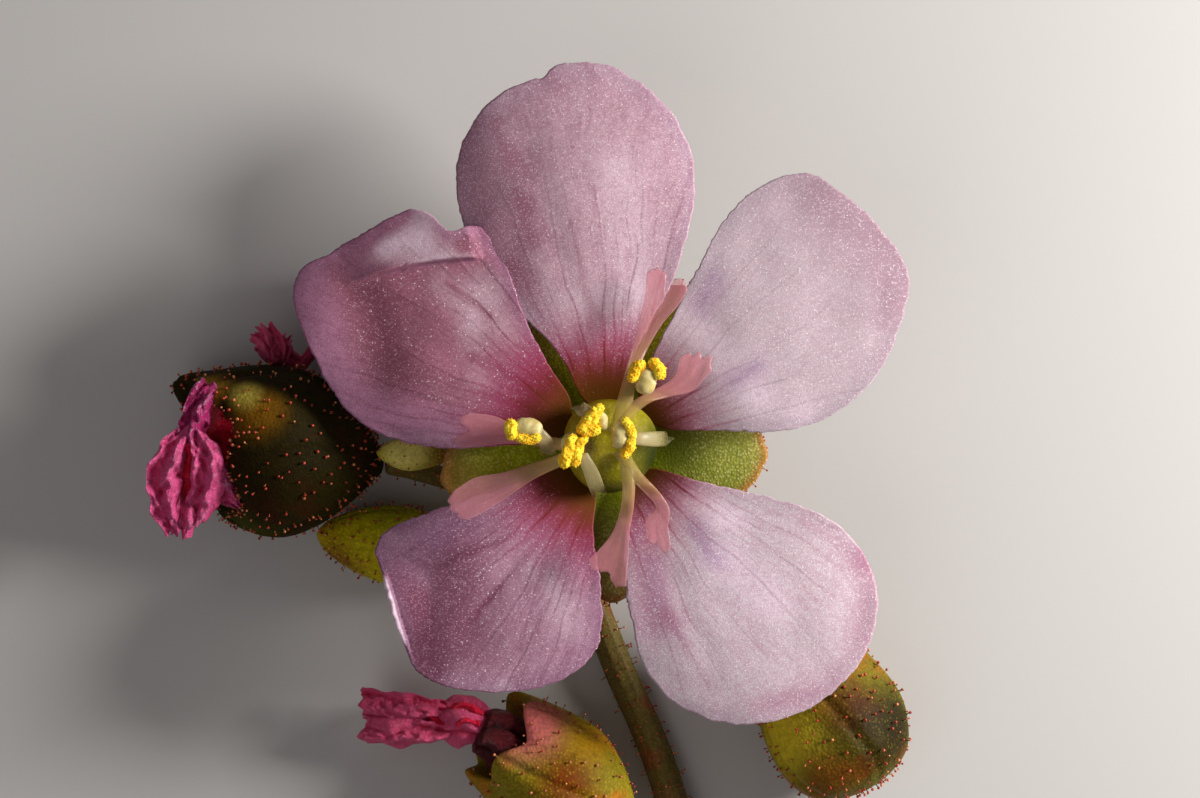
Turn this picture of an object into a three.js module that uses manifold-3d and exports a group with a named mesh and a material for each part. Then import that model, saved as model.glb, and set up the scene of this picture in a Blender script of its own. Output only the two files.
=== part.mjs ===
// The cut tip of a sundew's flower stalk, lying on a flat surface.
//
// One flower is open and faces up. Round it, on the same curled stalk, lie spent flowers with
// withered corollas, closed calyces and small buds. Units are millimetres, +Z is up, and the
// origin is on the surface, under the open flower, where the stalk's underside rests.

import * as THREE from 'three';
import { mergeVertices } from 'three/addons/utils/BufferGeometryUtils.js';
import Module from 'manifold-3d';

const wasm = await Module();
wasm.setup();

// ---------------------------------------------------------------------------------------------
// Driving dimensions
// ---------------------------------------------------------------------------------------------

const BLADE = 0.6; // thickness of petals, sepals and stigma fans
const PRESS = 0.06; // how far each lying piece is pressed flat against the surface
const GROUND_SIZE = 80; // of the block that trims what lies on the surface

const STALK_RADIUS = 0.62; // at the cut end
const STALK_TIP_RADIUS = 0.42;
const STALK_SIDES = 10;
const PEDICEL_RADIUS = 0.36;
const PEDICEL_SIDES = 7;

const PEDICEL_TOP = 3.25; // height at which the open flower's pedicel ends, under its calyx
const CALYX_FLOOR = 3.4; // underside of the open flower's calyx
const CALYX_TOP = 4.1; // its inner floor, which carries petals and ovary
const CALYX_RADIUS = 1.5;

const SEPAL_HEIGHT = 3.8; // middle of a sepal's thickness at its foot
const SEPAL_SLOPE = 0.2; // its rise for each millimetre outwards
const SEPAL_LENGTH = 5.3; // from the flower's axis to the tip
const SEPAL_HALF_WIDTH = 1.5;

const PETAL_HEIGHT = 4.65; // middle of a petal's thickness at its claw
const PETAL_RISE = 1.9; // how far they rise from there
const PETAL_FOOT = 1.2; // distance of the claws from the axis
const PETAL_SETTLE = 2.6; // distance over which the rise settles
const PETAL_BEND = 4.5; // distance from the axis where they start to droop

const OVARY_RADIUS = 1.57;
const OVARY_FOOT = 4.25;
const OVARY_TOP = 7.12;

const STYLE_HEIGHT = 7.45; // of the styles' arms, above the ovary
const STYLE_RADIUS = 0.25;
const FAN_HEIGHT = 7.1;
const FAN_THICKNESS = 0.5;

const FILAMENT_RADIUS = 0.17;
const FILAMENT_FOOT = 5.78; // filaments start in the gaps between the claws

const GLAND_RADIUS = 0.16; // the stalked glands on a calyx, as small spikes
const GLAND_LENGTH = 0.42;
const GLAND_ROOT = 0.2; // how deep each is sunk
const GLAND_SIDES = 4;
const GOLDEN_ANGLE = Math.PI * (3 - Math.sqrt(5));

// ---------------------------------------------------------------------------------------------
// Colours
// ---------------------------------------------------------------------------------------------

const finish = (color, roughness = 0.6) => new THREE.MeshStandardMaterial({ color, roughness });

const STALK_GREEN = finish(0x5f5a26);
const SEPAL_GREEN = finish(0x87934a);
const CALYX_DARK = finish(0x3c4418);
const CALYX_OLIVE = finish(0x7a6f22);
const PETAL_PINK = finish(0xd3aebf, 0.5);
const WITHERED_MAGENTA = finish(0xb5305f, 0.55);
const OVARY_GREEN = finish(0xa8ac22, 0.3);
const STYLE_CREAM = finish(0xd9a98c, 0.4);
const FILAMENT_CREAM = finish(0xd8c690, 0.4);
const POLLEN_YELLOW = finish(0xf2c21a, 0.8);
const BUD_GREEN = finish(0x8f8c3a);

// ---------------------------------------------------------------------------------------------
// Mesh helpers
// ---------------------------------------------------------------------------------------------

const part = new THREE.Group();

function place(name, geometry, material) {
  const mesh = new THREE.Mesh(geometry, material);
  mesh.name = name;
  part.add(mesh);
}

const point = ([x, y, z = 0]) => new THREE.Vector3(x, y, z);

function signedVolume(positions, faces) {
  const corner = (i) => new THREE.Vector3().fromArray(positions, 3 * faces[i]);
  let volume = 0;
  for (let i = 0; i < faces.length; i += 3) {
    volume += corner(i).dot(corner(i + 1).cross(corner(i + 2))) / 6;
  }
  return volume;
}

// A closed mesh from its vertices and triangles, turned to face outwards.
function closedMesh(vertices, faces) {
  const positions = vertices.flatMap((vertex) => vertex.toArray());
  const outward = signedVolume(positions, faces) > 0 ? faces : [...faces].reverse();
  const geometry = new THREE.BufferGeometry();
  geometry.setAttribute('position', new THREE.Float32BufferAttribute(positions, 3));
  geometry.setIndex(outward);
  return geometry;
}

function toManifold(geometry) {
  const bare = new THREE.BufferGeometry();
  bare.setAttribute('position', geometry.getAttribute('position'));
  bare.setIndex(geometry.getIndex());
  const merged = mergeVertices(bare, 1e-5);
  return new wasm.Manifold(
    new wasm.Mesh({
      numProp: 3,
      vertProperties: new Float32Array(merged.getAttribute('position').array),
      triVerts: new Uint32Array(merged.getIndex().array),
    }),
  );
}

function toGeometry(manifold) {
  const { numProp, vertProperties, triVerts } = manifold.getMesh();
  const positions = [];
  for (let i = 0; i < vertProperties.length; i += numProp) {
    positions.push(vertProperties[i], vertProperties[i + 1], vertProperties[i + 2]);
  }
  const geometry = new THREE.BufferGeometry();
  geometry.setAttribute('position', new THREE.Float32BufferAttribute(positions, 3));
  geometry.setIndex(Array.from(triVerts));
  return geometry;
}

// One solid grown from several closed meshes whose roots overlap.
function grownTogether(geometries) {
  return geometries.map(toManifold).reduce((whole, piece) => whole.add(piece));
}

// What lies on the surface is flat where it touches it.
function restedFlat(manifold) {
  const ground = new THREE.BoxGeometry(GROUND_SIZE, GROUND_SIZE, GROUND_SIZE);
  ground.translate(0, 0, -GROUND_SIZE / 2);
  return manifold.subtract(toManifold(ground));
}

// A body from a row of rings with the same number of points, closed by a pole at each end.
function ringBody(rings, firstPole, lastPole) {
  const sides = rings[0].length;
  const vertices = [...rings.flat(), firstPole, lastPole];
  const firstIndex = vertices.length - 2;
  const lastIndex = vertices.length - 1;
  const lastRing = (rings.length - 1) * sides;
  const faces = [];
  for (let side = 0; side < sides; side++) {
    const next = (side + 1) % sides;
    for (let ring = 0; ring < lastRing; ring += sides) {
      const [a, b, c, d] = [ring + side, ring + next, ring + sides + next, ring + sides + side];
      faces.push(a, b, c, a, c, d);
    }
    faces.push(firstIndex, next, side, lastIndex, lastRing + side, lastRing + next);
  }
  return closedMesh(vertices, faces);
}

// A round stem along a smooth route, its radius running from the first value to the last.
function stem(route, startRadius, endRadius, sides, steps) {
  const curve = new THREE.CatmullRomCurve3(route.map(point));
  const frames = curve.computeFrenetFrames(steps);
  const rings = [];
  for (let step = 0; step <= steps; step++) {
    const along = step / steps;
    const centre = curve.getPointAt(along);
    const radius = THREE.MathUtils.lerp(startRadius, endRadius, along);
    rings.push(
      Array.from({ length: sides }, (_, side) => {
        const turn = (2 * Math.PI * side) / sides;
        return centre
          .clone()
          .addScaledVector(frames.normals[step], radius * Math.cos(turn))
          .addScaledVector(frames.binormals[step], radius * Math.sin(turn));
      }),
    );
  }
  return ringBody(rings, curve.getPointAt(0), curve.getPointAt(1));
}

// A thin waved blade. A polar grid fills the outline, the same on both faces, and a strip
// closes its rim. heightAt gives the middle of the thickness.
function blade({ outline, centre, heightAt, sectors, rings = [0.45, 0.78, 1], thickness = BLADE }) {
  const rim = new THREE.CatmullRomCurve3(outline.map(point), true).getSpacedPoints(sectors);
  const middle = point(centre);
  const grid = [middle];
  for (const share of rings) {
    for (let sector = 0; sector < sectors; sector++) {
      grid.push(middle.clone().lerp(rim[sector], share));
    }
  }
  const face = (lift) => grid.map(({ x, y }) => new THREE.Vector3(x, y, heightAt(x, y) + lift));
  const vertices = [...face(thickness / 2), ...face(-thickness / 2)];

  const top = [];
  for (let sector = 0; sector < sectors; sector++) {
    const next = (sector + 1) % sectors;
    top.push([0, 1 + sector, 1 + next]);
    for (let ring = 0; ring + 1 < rings.length; ring++) {
      const inner = 1 + ring * sectors;
      const outer = inner + sectors;
      top.push([inner + sector, outer + sector, outer + next]);
      top.push([inner + sector, outer + next, inner + next]);
    }
  }
  const under = grid.length;
  const bottom = top.map(([a, b, c]) => [under + a, under + c, under + b]);
  const edge = 1 + (rings.length - 1) * sectors;
  const strip = [];
  for (let sector = 0; sector < sectors; sector++) {
    const [a, b] = [edge + sector, edge + ((sector + 1) % sectors)];
    strip.push([a, under + a, under + b], [a, under + b, b]);
  }
  return closedMesh(vertices, [...top, ...bottom, ...strip].flat());
}

// ---------------------------------------------------------------------------------------------
// Stalk: the curled main stem and the pedicels that branch from it
// ---------------------------------------------------------------------------------------------

const lying = (radius) => radius - PRESS; // height of the axis of a lying round piece

const STALK_ROUTE = [
  [4.3, -22.8],
  [3.6, -19],
  [2.9, -15.2],
  [1.7, -11],
  [0.3, -7.8],
  [-0.7, -5],
  [-0.9, -2.4],
  [0, 0],
  [1.5, 1.35],
  [3, 1.35],
  [4, 0.2],
  [4.2, -1.5],
  [3.9, -3.1],
].map(([x, y], index, all) => {
  const radius = THREE.MathUtils.lerp(STALK_RADIUS, STALK_TIP_RADIUS, index / (all.length - 1));
  return [x, y, lying(radius)];
});

// Each pedicel leaves the stalk's middle and ends just short of its flower.
const PEDICEL_ROUTES = {
  spentLeft: [[-0.95, -3, 0.5], [-4.2, -1.7, 1.3], [-6.5, -0.95, 2.15], [-7.5, -0.68, 2.8]],
  spentBehind: [[-0.3, -0.7, 0.5], [-2.1, 1.8, 1.2], [-4.05, 3.85, 1.95]],
  spentBottom: [[2.55, -14.6, 0.5], [2, -14.3, 1.4], [1.12, -13.6, 2.05]],
  closedLeft: [[-0.9, -4.2, 0.5], [-2.1, -4.15, 0.95], [-3.3, -4.03, 1.27]],
  closedRight: [[4.15, -1.7, 0.5], [5.2, -2.6, 1.35], [5.65, -4, 2.1], [5.62, -5.08, 2.34]],
  budSmall: [[-0.75, -1.6, 0.5], [-2.9, -0.8, 2], [-5.05, -0.38, 3.45]],
};

const openFlowerPedicel = stem(
  [[0, 0, 0.4], [0, 0, 1.6], [0, 0, PEDICEL_TOP]],
  PEDICEL_RADIUS + 0.1,
  PEDICEL_RADIUS + 0.3,
  PEDICEL_SIDES,
  3,
);
const stalk = grownTogether([
  stem(STALK_ROUTE, STALK_RADIUS, STALK_TIP_RADIUS, STALK_SIDES, 36),
  openFlowerPedicel,
  ...Object.values(PEDICEL_ROUTES).map((route) =>
    stem(route, PEDICEL_RADIUS, PEDICEL_RADIUS, PEDICEL_SIDES, 6),
  ),
]);
place('stalk', toGeometry(restedFlat(stalk)), STALK_GREEN);

// ---------------------------------------------------------------------------------------------
// Open flower: sepals
// ---------------------------------------------------------------------------------------------

// Half of a sepal's outline, as shares of its length and half width, foot to tip.
const SEPAL_HALF_OUTLINE = [[0.2, 0.45], [0.32, 0.78], [0.54, 1], [0.78, 0.88], [0.94, 0.48]];
const SEPALS = [
  { turn: -4, length: SEPAL_LENGTH },
  { turn: -89, length: SEPAL_LENGTH },
  { turn: 192, length: 5.8 },
  { turn: 122, length: SEPAL_LENGTH },
  { turn: 64, length: 5.9 },
];

function sepal({ turn, length }) {
  const direction = THREE.MathUtils.degToRad(turn);
  const toFlower = (along, across) => [
    along * Math.cos(direction) - across * Math.sin(direction),
    along * Math.sin(direction) + across * Math.cos(direction),
  ];
  const half = SEPAL_HALF_OUTLINE.map(([along, across]) => [
    along * length,
    across * SEPAL_HALF_WIDTH,
  ]);
  const otherHalf = half.map(([along, across]) => [along, -across]).reverse();
  return blade({
    outline: [...half, [length, 0], ...otherHalf].map(([along, across]) => toFlower(along, across)),
    centre: toFlower(0.55 * length, 0),
    heightAt: (x, y) => SEPAL_HEIGHT + SEPAL_SLOPE * Math.max(0, Math.hypot(x, y) - 1),
    sectors: 20,
    rings: [0.6, 1],
  });
}

const calyxCup = new THREE.CylinderGeometry(
  CALYX_RADIUS,
  0.6 * CALYX_RADIUS,
  CALYX_TOP - CALYX_FLOOR,
  20,
)
  .rotateX(Math.PI / 2)
  .translate(0, 0, (CALYX_TOP + CALYX_FLOOR) / 2);
place('bloom_calyx', toGeometry(grownTogether([calyxCup, ...SEPALS.map(sepal)])), SEPAL_GREEN);

// ---------------------------------------------------------------------------------------------
// Open flower: petals
// ---------------------------------------------------------------------------------------------

// Each outline starts at the claw. crown is how fast the surface falls on each side of the
// petal's middle line, droop how fast it falls towards the end, and bumps raise it round a
// point.
const PETALS = {
  petal_top: {
    turn: 98,
    centre: [-1.1, 7.67],
    outline: [
      [-0.6, 1.45], [-1.67, 2.9], [-2.83, 4.17], [-4.33, 6.1], [-5.07, 8.33], [-4.93, 9.9],
      [-4.1, 11.35], [-2.5, 12.35], [-1.2, 12.75], [0.07, 12.6], [1.67, 11.47], [2.67, 9.83],
      [2.73, 7.83], [2.07, 5.43], [1, 3.5], [0.33, 1.57],
    ],
    crown: { left: 0.05, right: 0.02 },
    droop: 0.012,
    bumps: [],
  },
  petal_upper_right: {
    turn: 37,
    centre: [5.83, 4.5],
    outline: [
      [1, 1.57], [1.4, 2.9], [2.17, 4.43], [3, 6.03], [3.93, 7.63], [5.07, 8.63], [6.6, 9.03],
      [7.93, 8.2], [9, 7.2], [9.9, 5.77], [9.67, 4.1], [9, 2.57], [7.73, 1.2], [5.87, 0.5],
      [3.67, 0.5], [1.73, 0.6],
    ],
    crown: { left: 0.02, right: 0.02 },
    droop: 0.012,
    bumps: [],
  },
  petal_lower_right: {
    turn: -49,
    centre: [4.73, -5.17],
    outline: [
      [1.5, -0.83], [3, -1.23], [5, -1.67], [6.93, -2.27], [8.27, -3.4], [8.9, -5], [8.67, -6.5],
      [7.83, -7.83], [6.33, -8.9], [4.27, -9.3], [2.5, -8.77], [1.33, -7.67], [0.8, -6.17],
      [0.5, -4.17], [0.53, -2.5], [0.8, -1.23],
    ],
    crown: { left: 0.015, right: 0.03 },
    droop: 0.012,
    bumps: [],
  },
  petal_lower_left: {
    turn: -128,
    centre: [-3.67, -4.5],
    outline: [
      [-0.53, -1.5], [-0.57, -3], [-0.3, -4.83], [-0.4, -6.57], [-1.17, -7.53], [-2.67, -8.1],
      [-4.5, -8.17], [-6.07, -7.77], [-6.73, -7], [-7.23, -5.67], [-7.57, -4.33], [-7.83, -3.57],
      [-7.4, -2.87], [-6.17, -2.33], [-4.67, -1.83], [-3, -1.23], [-1.5, -0.67],
    ],
    crown: { left: 0.02, right: 0.04 },
    droop: 0.014,
    bumps: [{ at: [-7.4, -5.2], reach: 1.6, height: 0.35 }],
  },
  petal_left: {
    turn: 149,
    centre: [-6, 3.67],
    outline: [
      [-1.1, 1.33], [-2, 2.67], [-2.83, 4.17], [-3.4, 5.83], [-4.2, 7.17], [-4.67, 7.3],
      [-5.33, 7.1], [-6, 7.7], [-6.83, 7.83], [-7.93, 7.27], [-9.33, 6.43], [-10.33, 5.9],
      [-10.57, 4.83], [-10, 3.23], [-9, 1.4], [-7.5, 0.3], [-5.67, -0.1], [-3.67, -0.03],
      [-1.67, 0.23],
    ],
    crown: { left: 0.02, right: 0.01 },
    droop: 0.026,
    bumps: [
      { at: [-3.5, 5.2], reach: 2.8, height: 1.1 },
      { at: [-5.6, 7.6], reach: 2.4, height: 0.8 },
      { at: [-10.6, 3.6], reach: 2.4, height: 0.5 },
    ],
  },
};

// A low hill that is height tall at its middle and gone at reach.
function bump(x, y, { at, reach, height }) {
  const share = Math.hypot(x - at[0], y - at[1]) / reach;
  return share >= 1 ? 0 : height * (1 - share * share) ** 2;
}

function petalHeight({ turn, crown, droop, bumps }) {
  const direction = THREE.MathUtils.degToRad(turn);
  return (x, y) => {
    const distance = Math.hypot(x, y);
    const rise = 1 - Math.exp(-Math.max(0, distance - PETAL_FOOT) / PETAL_SETTLE);
    const across = y * Math.cos(direction) - x * Math.sin(direction);
    const fall = (across > 0 ? crown.left : crown.right) * across * across;
    const drop = droop * Math.max(0, distance - PETAL_BEND) ** 2;
    const hills = bumps.reduce((sum, hill) => sum + bump(x, y, hill), 0);
    return PETAL_HEIGHT + PETAL_RISE * rise - fall - drop + hills;
  };
}

for (const [name, petal] of Object.entries(PETALS)) {
  const { outline, centre } = petal;
  place(name, blade({ outline, centre, heightAt: petalHeight(petal), sectors: 32 }), PETAL_PINK);
}

// ---------------------------------------------------------------------------------------------
// Open flower: ovary, styles and stamens
// ---------------------------------------------------------------------------------------------

// Radius and height up the ovary's side, as shares of its largest radius and its height.
const OVARY_PROFILE = [
  [0.35, 0], [0.62, 0.12], [0.78, 0.26], [0.94, 0.42], [1, 0.58], [0.93, 0.76], [0.7, 0.9],
  [0.35, 0.98],
];
const ovaryOutline = [[0, 0], ...OVARY_PROFILE, [0, 1]].map(
  ([radius, height]) =>
    new THREE.Vector2(
      radius * OVARY_RADIUS,
      THREE.MathUtils.lerp(OVARY_FOOT, OVARY_TOP, height),
    ),
);
place(
  'ovary',
  mergedLathe(new THREE.LatheGeometry(ovaryOutline, 18).rotateX(Math.PI / 2)),
  OVARY_GREEN,
);

// A turned body without its seam and its double poles.
function mergedLathe(lathe) {
  lathe.deleteAttribute('normal');
  lathe.deleteAttribute('uv');
  const merged = mergeVertices(lathe, 1e-5);
  const index = Array.from(merged.getIndex().array);
  const faces = [];
  for (let i = 0; i < index.length; i += 3) {
    const [a, b, c] = index.slice(i, i + 3);
    if (a !== b && b !== c && c !== a) faces.push(a, b, c);
  }
  const position = merged.getAttribute('position');
  const vertices = Array.from({ length: position.count }, (_, i) =>
    new THREE.Vector3().fromBufferAttribute(position, i),
  );
  return closedMesh(vertices, faces);
}

// A style forks into two arms, each ending in a thin lobed fan.
const STYLES = {
  style_upper: {
    foot: [0.12, 0.42],
    fork: [0.48, 1.2],
    arms: [
      {
        route: [[0.75, 2.2], [1.05, 3.3]],
        centre: [1.75, 4.75],
        outline: [
          [0.67, 3.1], [0.87, 4.5], [1.07, 5.43], [1.5, 5.93], [1.95, 5.8], [2.2, 5.45],
          [2.6, 5.45], [2.65, 5.05], [2.3, 4.45], [1.7, 3.7], [1.27, 3.05],
        ],
      },
      {
        route: [[1.3, 1.68], [2.1, 1.98]],
        centre: [3, 2.75],
        outline: [
          [1.75, 1.85], [2.15, 2.5], [2.5, 3.1], [3.05, 3.4], [3.75, 3.62], [3.93, 3.3],
          [3.6, 2.8], [3.25, 2.2], [2.7, 1.6], [2, 1.5],
        ],
      },
    ],
  },
  style_left: {
    foot: [-0.52, 0.1],
    fork: [-1.5, -0.08],
    arms: [
      {
        route: [[-2.3, 0.42], [-3.2, 0.45]],
        centre: [-4.35, 0.42],
        outline: [
          [-3, 0.15], [-3.35, 0.65], [-4, 1.05], [-4.9, 0.9], [-5.15, 0.55], [-5.45, 0.2],
          [-5, -0.07], [-4, -0.07], [-3.3, 0],
        ],
      },
      {
        route: [[-2.2, -0.68], [-3.1, -1.05]],
        centre: [-4.3, -1.55],
        outline: [
          [-3, -0.85], [-4, -0.97], [-4.7, -1.15], [-5.1, -1.57], [-5.45, -2], [-5.2, -2.35],
          [-4.6, -2.3], [-3.9, -2], [-3.3, -1.7], [-2.75, -1.3],
        ],
      },
    ],
  },
  style_lower: {
    foot: [0.3, -0.32],
    fork: [0.62, -0.75],
    arms: [
      {
        route: [[0.66, -1.5], [0.55, -2.6]],
        centre: [0.3, -3.85],
        outline: [
          [0.42, -2.6], [0, -3.15], [-0.45, -3.5], [-0.4, -3.9], [-0.2, -4.25], [0.13, -4.3],
          [0.3, -4.75], [0.6, -4.85], [0.77, -4.3], [0.82, -3.4], [0.8, -2.6],
        ],
      },
      {
        route: [[1.2, -1.35], [1.6, -1.85]],
        centre: [1.75, -2.55],
        outline: [
          [1.45, -1.65], [1.9, -1.7], [2.05, -2.4], [1.95, -3.2], [1.7, -3.35], [1.5, -2.95],
          [1.2, -2.65], [1.35, -2.15],
        ],
      },
    ],
  },
};

function style({ foot, fork, arms }) {
  const start = [...foot, STYLE_HEIGHT];
  const forkPoint = [...fork, STYLE_HEIGHT];
  const pieces = arms.flatMap(({ route, centre, outline }) => {
    const [near, far] = route;
    const armRoute = [forkPoint, [...near, STYLE_HEIGHT], [...far, FAN_HEIGHT]];
    const fan = blade({
      outline,
      centre,
      heightAt: () => FAN_HEIGHT,
      sectors: 18,
      rings: [1],
      thickness: FAN_THICKNESS,
    });
    return [stem(armRoute, STYLE_RADIUS, STYLE_RADIUS, 6, 4), fan];
  });
  return grownTogether([stem([start, forkPoint], STYLE_RADIUS, STYLE_RADIUS, 6, 1), ...pieces]);
}

for (const [name, shape] of Object.entries(STYLES)) {
  place(name, toGeometry(style(shape)), STYLE_CREAM);
}

// A filament rises from a gap between two claws and bends over to its anther. The anther is
// two pollen lobes side by side.
const STAMENS = {
  upper_left: {
    route: [[-1.3, 1.5, FILAMENT_FOOT], [-1.2, 1.42, 6.8], [-0.85, 1.05, 7.6]],
    lobes: [[-0.8, 0.72, 8], [-0.42, 1.1, 8]],
  },
  lower_left: {
    route: [[-0.1, -1.9, FILAMENT_FOOT], [-0.35, -1.75, 6.9], [-1, -0.75, 7.7]],
    lobes: [[-1.42, -0.42, 8.05], [-1.15, 0.12, 8.05]],
  },
  right: {
    route: [[1.95, 0.27, FILAMENT_FOOT], [1.85, 0.27, 6.9], [1.05, 0.27, 7.8]],
    lobes: [[0.62, -0.08, 8.1], [0.55, 0.6, 8.1]],
  },
  left: {
    route: [[-2.1, -0.14, FILAMENT_FOOT], [-2.38, -0.14, 6.9], [-2.6, 0.05, 7.85]],
    lobes: [[-3.1, 0.62, 8.2], [-2.65, 0.3, 8.2]],
  },
  upper_right: {
    route: [[1.15, 1.95, FILAMENT_FOOT], [1.3, 2.15, 6.9], [1.25, 2.3, 7.7]],
    lobes: [[0.95, 2.5, 8.1], [1.5, 2.55, 8.1]],
  },
};
const LOBE_SIZE = [0.32, 0.4, 0.27];

// One lobe, its long way across the line between the two lobes.
function pollenLobe(at, other) {
  const turn = Math.atan2(other[1] - at[1], other[0] - at[0]);
  const lobe = new THREE.OctahedronGeometry(1, 2);
  lobe.scale(...LOBE_SIZE).rotateZ(turn).translate(...at);
  lobe.setIndex([...Array(lobe.getAttribute('position').count).keys()]);
  return lobe;
}

for (const [side, { route, lobes }] of Object.entries(STAMENS)) {
  const filament = stem(route, FILAMENT_RADIUS, FILAMENT_RADIUS, 6, 6);
  place(`filament_${side}`, filament, FILAMENT_CREAM);
  const [first, second] = lobes;
  const bridge = stem([first, second], FILAMENT_RADIUS, FILAMENT_RADIUS, 6, 1);
  const anther = grownTogether([pollenLobe(first, second), pollenLobe(second, first), bridge]);
  place(`anther_${side}`, toGeometry(anther), POLLEN_YELLOW);
}

// ---------------------------------------------------------------------------------------------
// Spent flowers, closed calyces and buds
// ---------------------------------------------------------------------------------------------

// The frame of a body that lies along a line: its length direction, sideways and upwards.
function lyingFrame(from, to) {
  const along = point(to).sub(point(from)).normalize();
  const sideways = new THREE.Vector3(0, 0, 1).cross(along).normalize();
  return { along, sideways, upwards: along.clone().cross(sideways) };
}

// A body round the line from base to tip. profile rows give the way along, the radius and how
// much of the mouth's shape that ring takes: its five teeth, its tilt to the sky and its slant
// to the side.
function calyxBody({
  base,
  tip,
  profile,
  sides = 20,
  mouthTilt = 0,
  mouthSlant = 0,
  teeth = 0,
  ribs = 0.04,
}) {
  const { along, sideways, upwards } = lyingFrame(base, tip);
  const at = (way, radius, turn) =>
    point(base)
      .addScaledVector(along, way)
      .addScaledVector(sideways, radius * Math.cos(turn))
      .addScaledVector(upwards, radius * Math.sin(turn));
  const rings = profile.slice(1, -1).map(([way, radius, mouth = 0]) =>
    Array.from({ length: sides }, (_, side) => {
      const turn = (2 * Math.PI * side) / sides;
      const tooth = 0.5 + 0.5 * Math.cos(5 * turn);
      const lean = mouthTilt * Math.sin(turn) + mouthSlant * Math.cos(turn);
      const wayHere = way + mouth * (teeth * tooth - lean);
      return at(wayHere, radius * (1 + ribs * Math.cos(5 * turn)), turn);
    }),
  );
  const [firstWay] = profile[0];
  const [lastWay] = profile[profile.length - 1];
  return ringBody(rings, at(firstWay, 0, 0), at(lastWay, 0, 0));
}

// The radius of a calyx at a way along its outside.
function outerRadius(profile, way) {
  const outside = profile.filter(([at, , mouth = 0], i) => mouth === 0 && i < profile.length - 1);
  for (let i = 1; i < outside.length; i++) {
    const [[startWay, startRadius], [endWay, endRadius]] = [outside[i - 1], outside[i]];
    if (way <= endWay) {
      return THREE.MathUtils.mapLinear(way, startWay, endWay, startRadius, endRadius);
    }
  }
  return outside[outside.length - 1][1];
}

// Gland spikes spread evenly over a calyx by the golden angle. Those that would point into the
// surface it lies on are left out.
function glandSpikes({ base, tip, profile, glands, glandRange }) {
  const { along, sideways, upwards } = lyingFrame(base, tip);
  const spikes = [];
  for (let i = 0; i < glands; i++) {
    const way = THREE.MathUtils.lerp(...glandRange, (i + 0.5) / glands);
    const turn = i * GOLDEN_ANGLE;
    const outwards = sideways
      .clone()
      .multiplyScalar(Math.cos(turn))
      .addScaledVector(upwards, Math.sin(turn));
    const middle = outerRadius(profile, way) - GLAND_ROOT + GLAND_LENGTH / 2;
    const centre = point(base).addScaledVector(along, way).addScaledVector(outwards, middle);
    if (centre.z < 2 * GLAND_LENGTH) continue;
    const spike = new THREE.ConeGeometry(GLAND_RADIUS, GLAND_LENGTH + GLAND_ROOT, GLAND_SIDES);
    const lean = new THREE.Quaternion().setFromUnitVectors(new THREE.Vector3(0, 1, 0), outwards);
    spikes.push(spike.applyQuaternion(lean).translate(...centre.toArray()));
  }
  return spikes;
}

function placeCalyx(name, shape, material) {
  const whole = grownTogether([calyxBody(shape), ...glandSpikes(shape)]);
  place(name, toGeometry(restedFlat(whole)), material);
}

// A withered corolla: a pleated, twisted bundle along its route. widths are its radii.
const PLEATS = 5;
const PLEAT_DEPTH = 0.3;
const TWIST = 1.4; // turns of the pleats from root to tip, in radians

function witheredCorolla(route, widths) {
  const curve = new THREE.CatmullRomCurve3(route.map(point));
  const steps = 9;
  const sides = 3 * PLEATS;
  const frames = curve.computeFrenetFrames(steps);
  const rings = [];
  for (let step = 0; step <= steps; step++) {
    const share = step / steps;
    const centre = curve.getPointAt(share);
    const slot = Math.min(Math.floor(share * (widths.length - 1)), widths.length - 2);
    const width = THREE.MathUtils.lerp(
      widths[slot],
      widths[slot + 1],
      share * (widths.length - 1) - slot,
    );
    rings.push(
      Array.from({ length: sides }, (_, side) => {
        const turn = (2 * Math.PI * side) / sides;
        const radius = width * (1 - PLEAT_DEPTH * (0.5 - 0.5 * Math.cos(PLEATS * turn)));
        const angle = turn + TWIST * share;
        return centre
          .clone()
          .addScaledVector(frames.normals[step], radius * Math.cos(angle))
          .addScaledVector(frames.binormals[step], radius * Math.sin(angle));
      }),
    );
  }
  return ringBody(rings, curve.getPointAt(0), curve.getPointAt(1));
}

// An open-mouthed calyx of the given length and largest radius: the outside from base to rim,
// then the inside down to the floor of the mouth.
const openProfile = (length, radius, mouthRadius) => [
  [0, 0],
  [0.05 * length, 0.24 * radius],
  [0.15 * length, 0.5 * radius],
  [0.29 * length, 0.77 * radius],
  [0.45 * length, 0.96 * radius],
  [0.6 * length, radius],
  [0.78 * length, 0.93 * radius, 0.4],
  [0.92 * length, mouthRadius, 1],
  [0.9 * length, 0.82 * mouthRadius, 1],
  [0.77 * length, 0.62 * mouthRadius, 0.3],
  [0.7 * length, 0],
];

// A closed calyx that ends in a blunt tip.
const closedProfile = (length, radius, bluntness) => [
  [0, 0],
  [0.05 * length, 0.24 * radius],
  [0.17 * length, 0.55 * radius],
  [0.36 * length, 0.82 * radius],
  [0.58 * length, radius],
  [0.76 * length, THREE.MathUtils.lerp(0.78, 1, bluntness) * radius],
  [0.9 * length, THREE.MathUtils.lerp(0.42, 0.8, bluntness) * radius],
  [0.97 * length, THREE.MathUtils.lerp(0.18, 0.45, bluntness) * radius],
  [length, 0],
];

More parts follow.
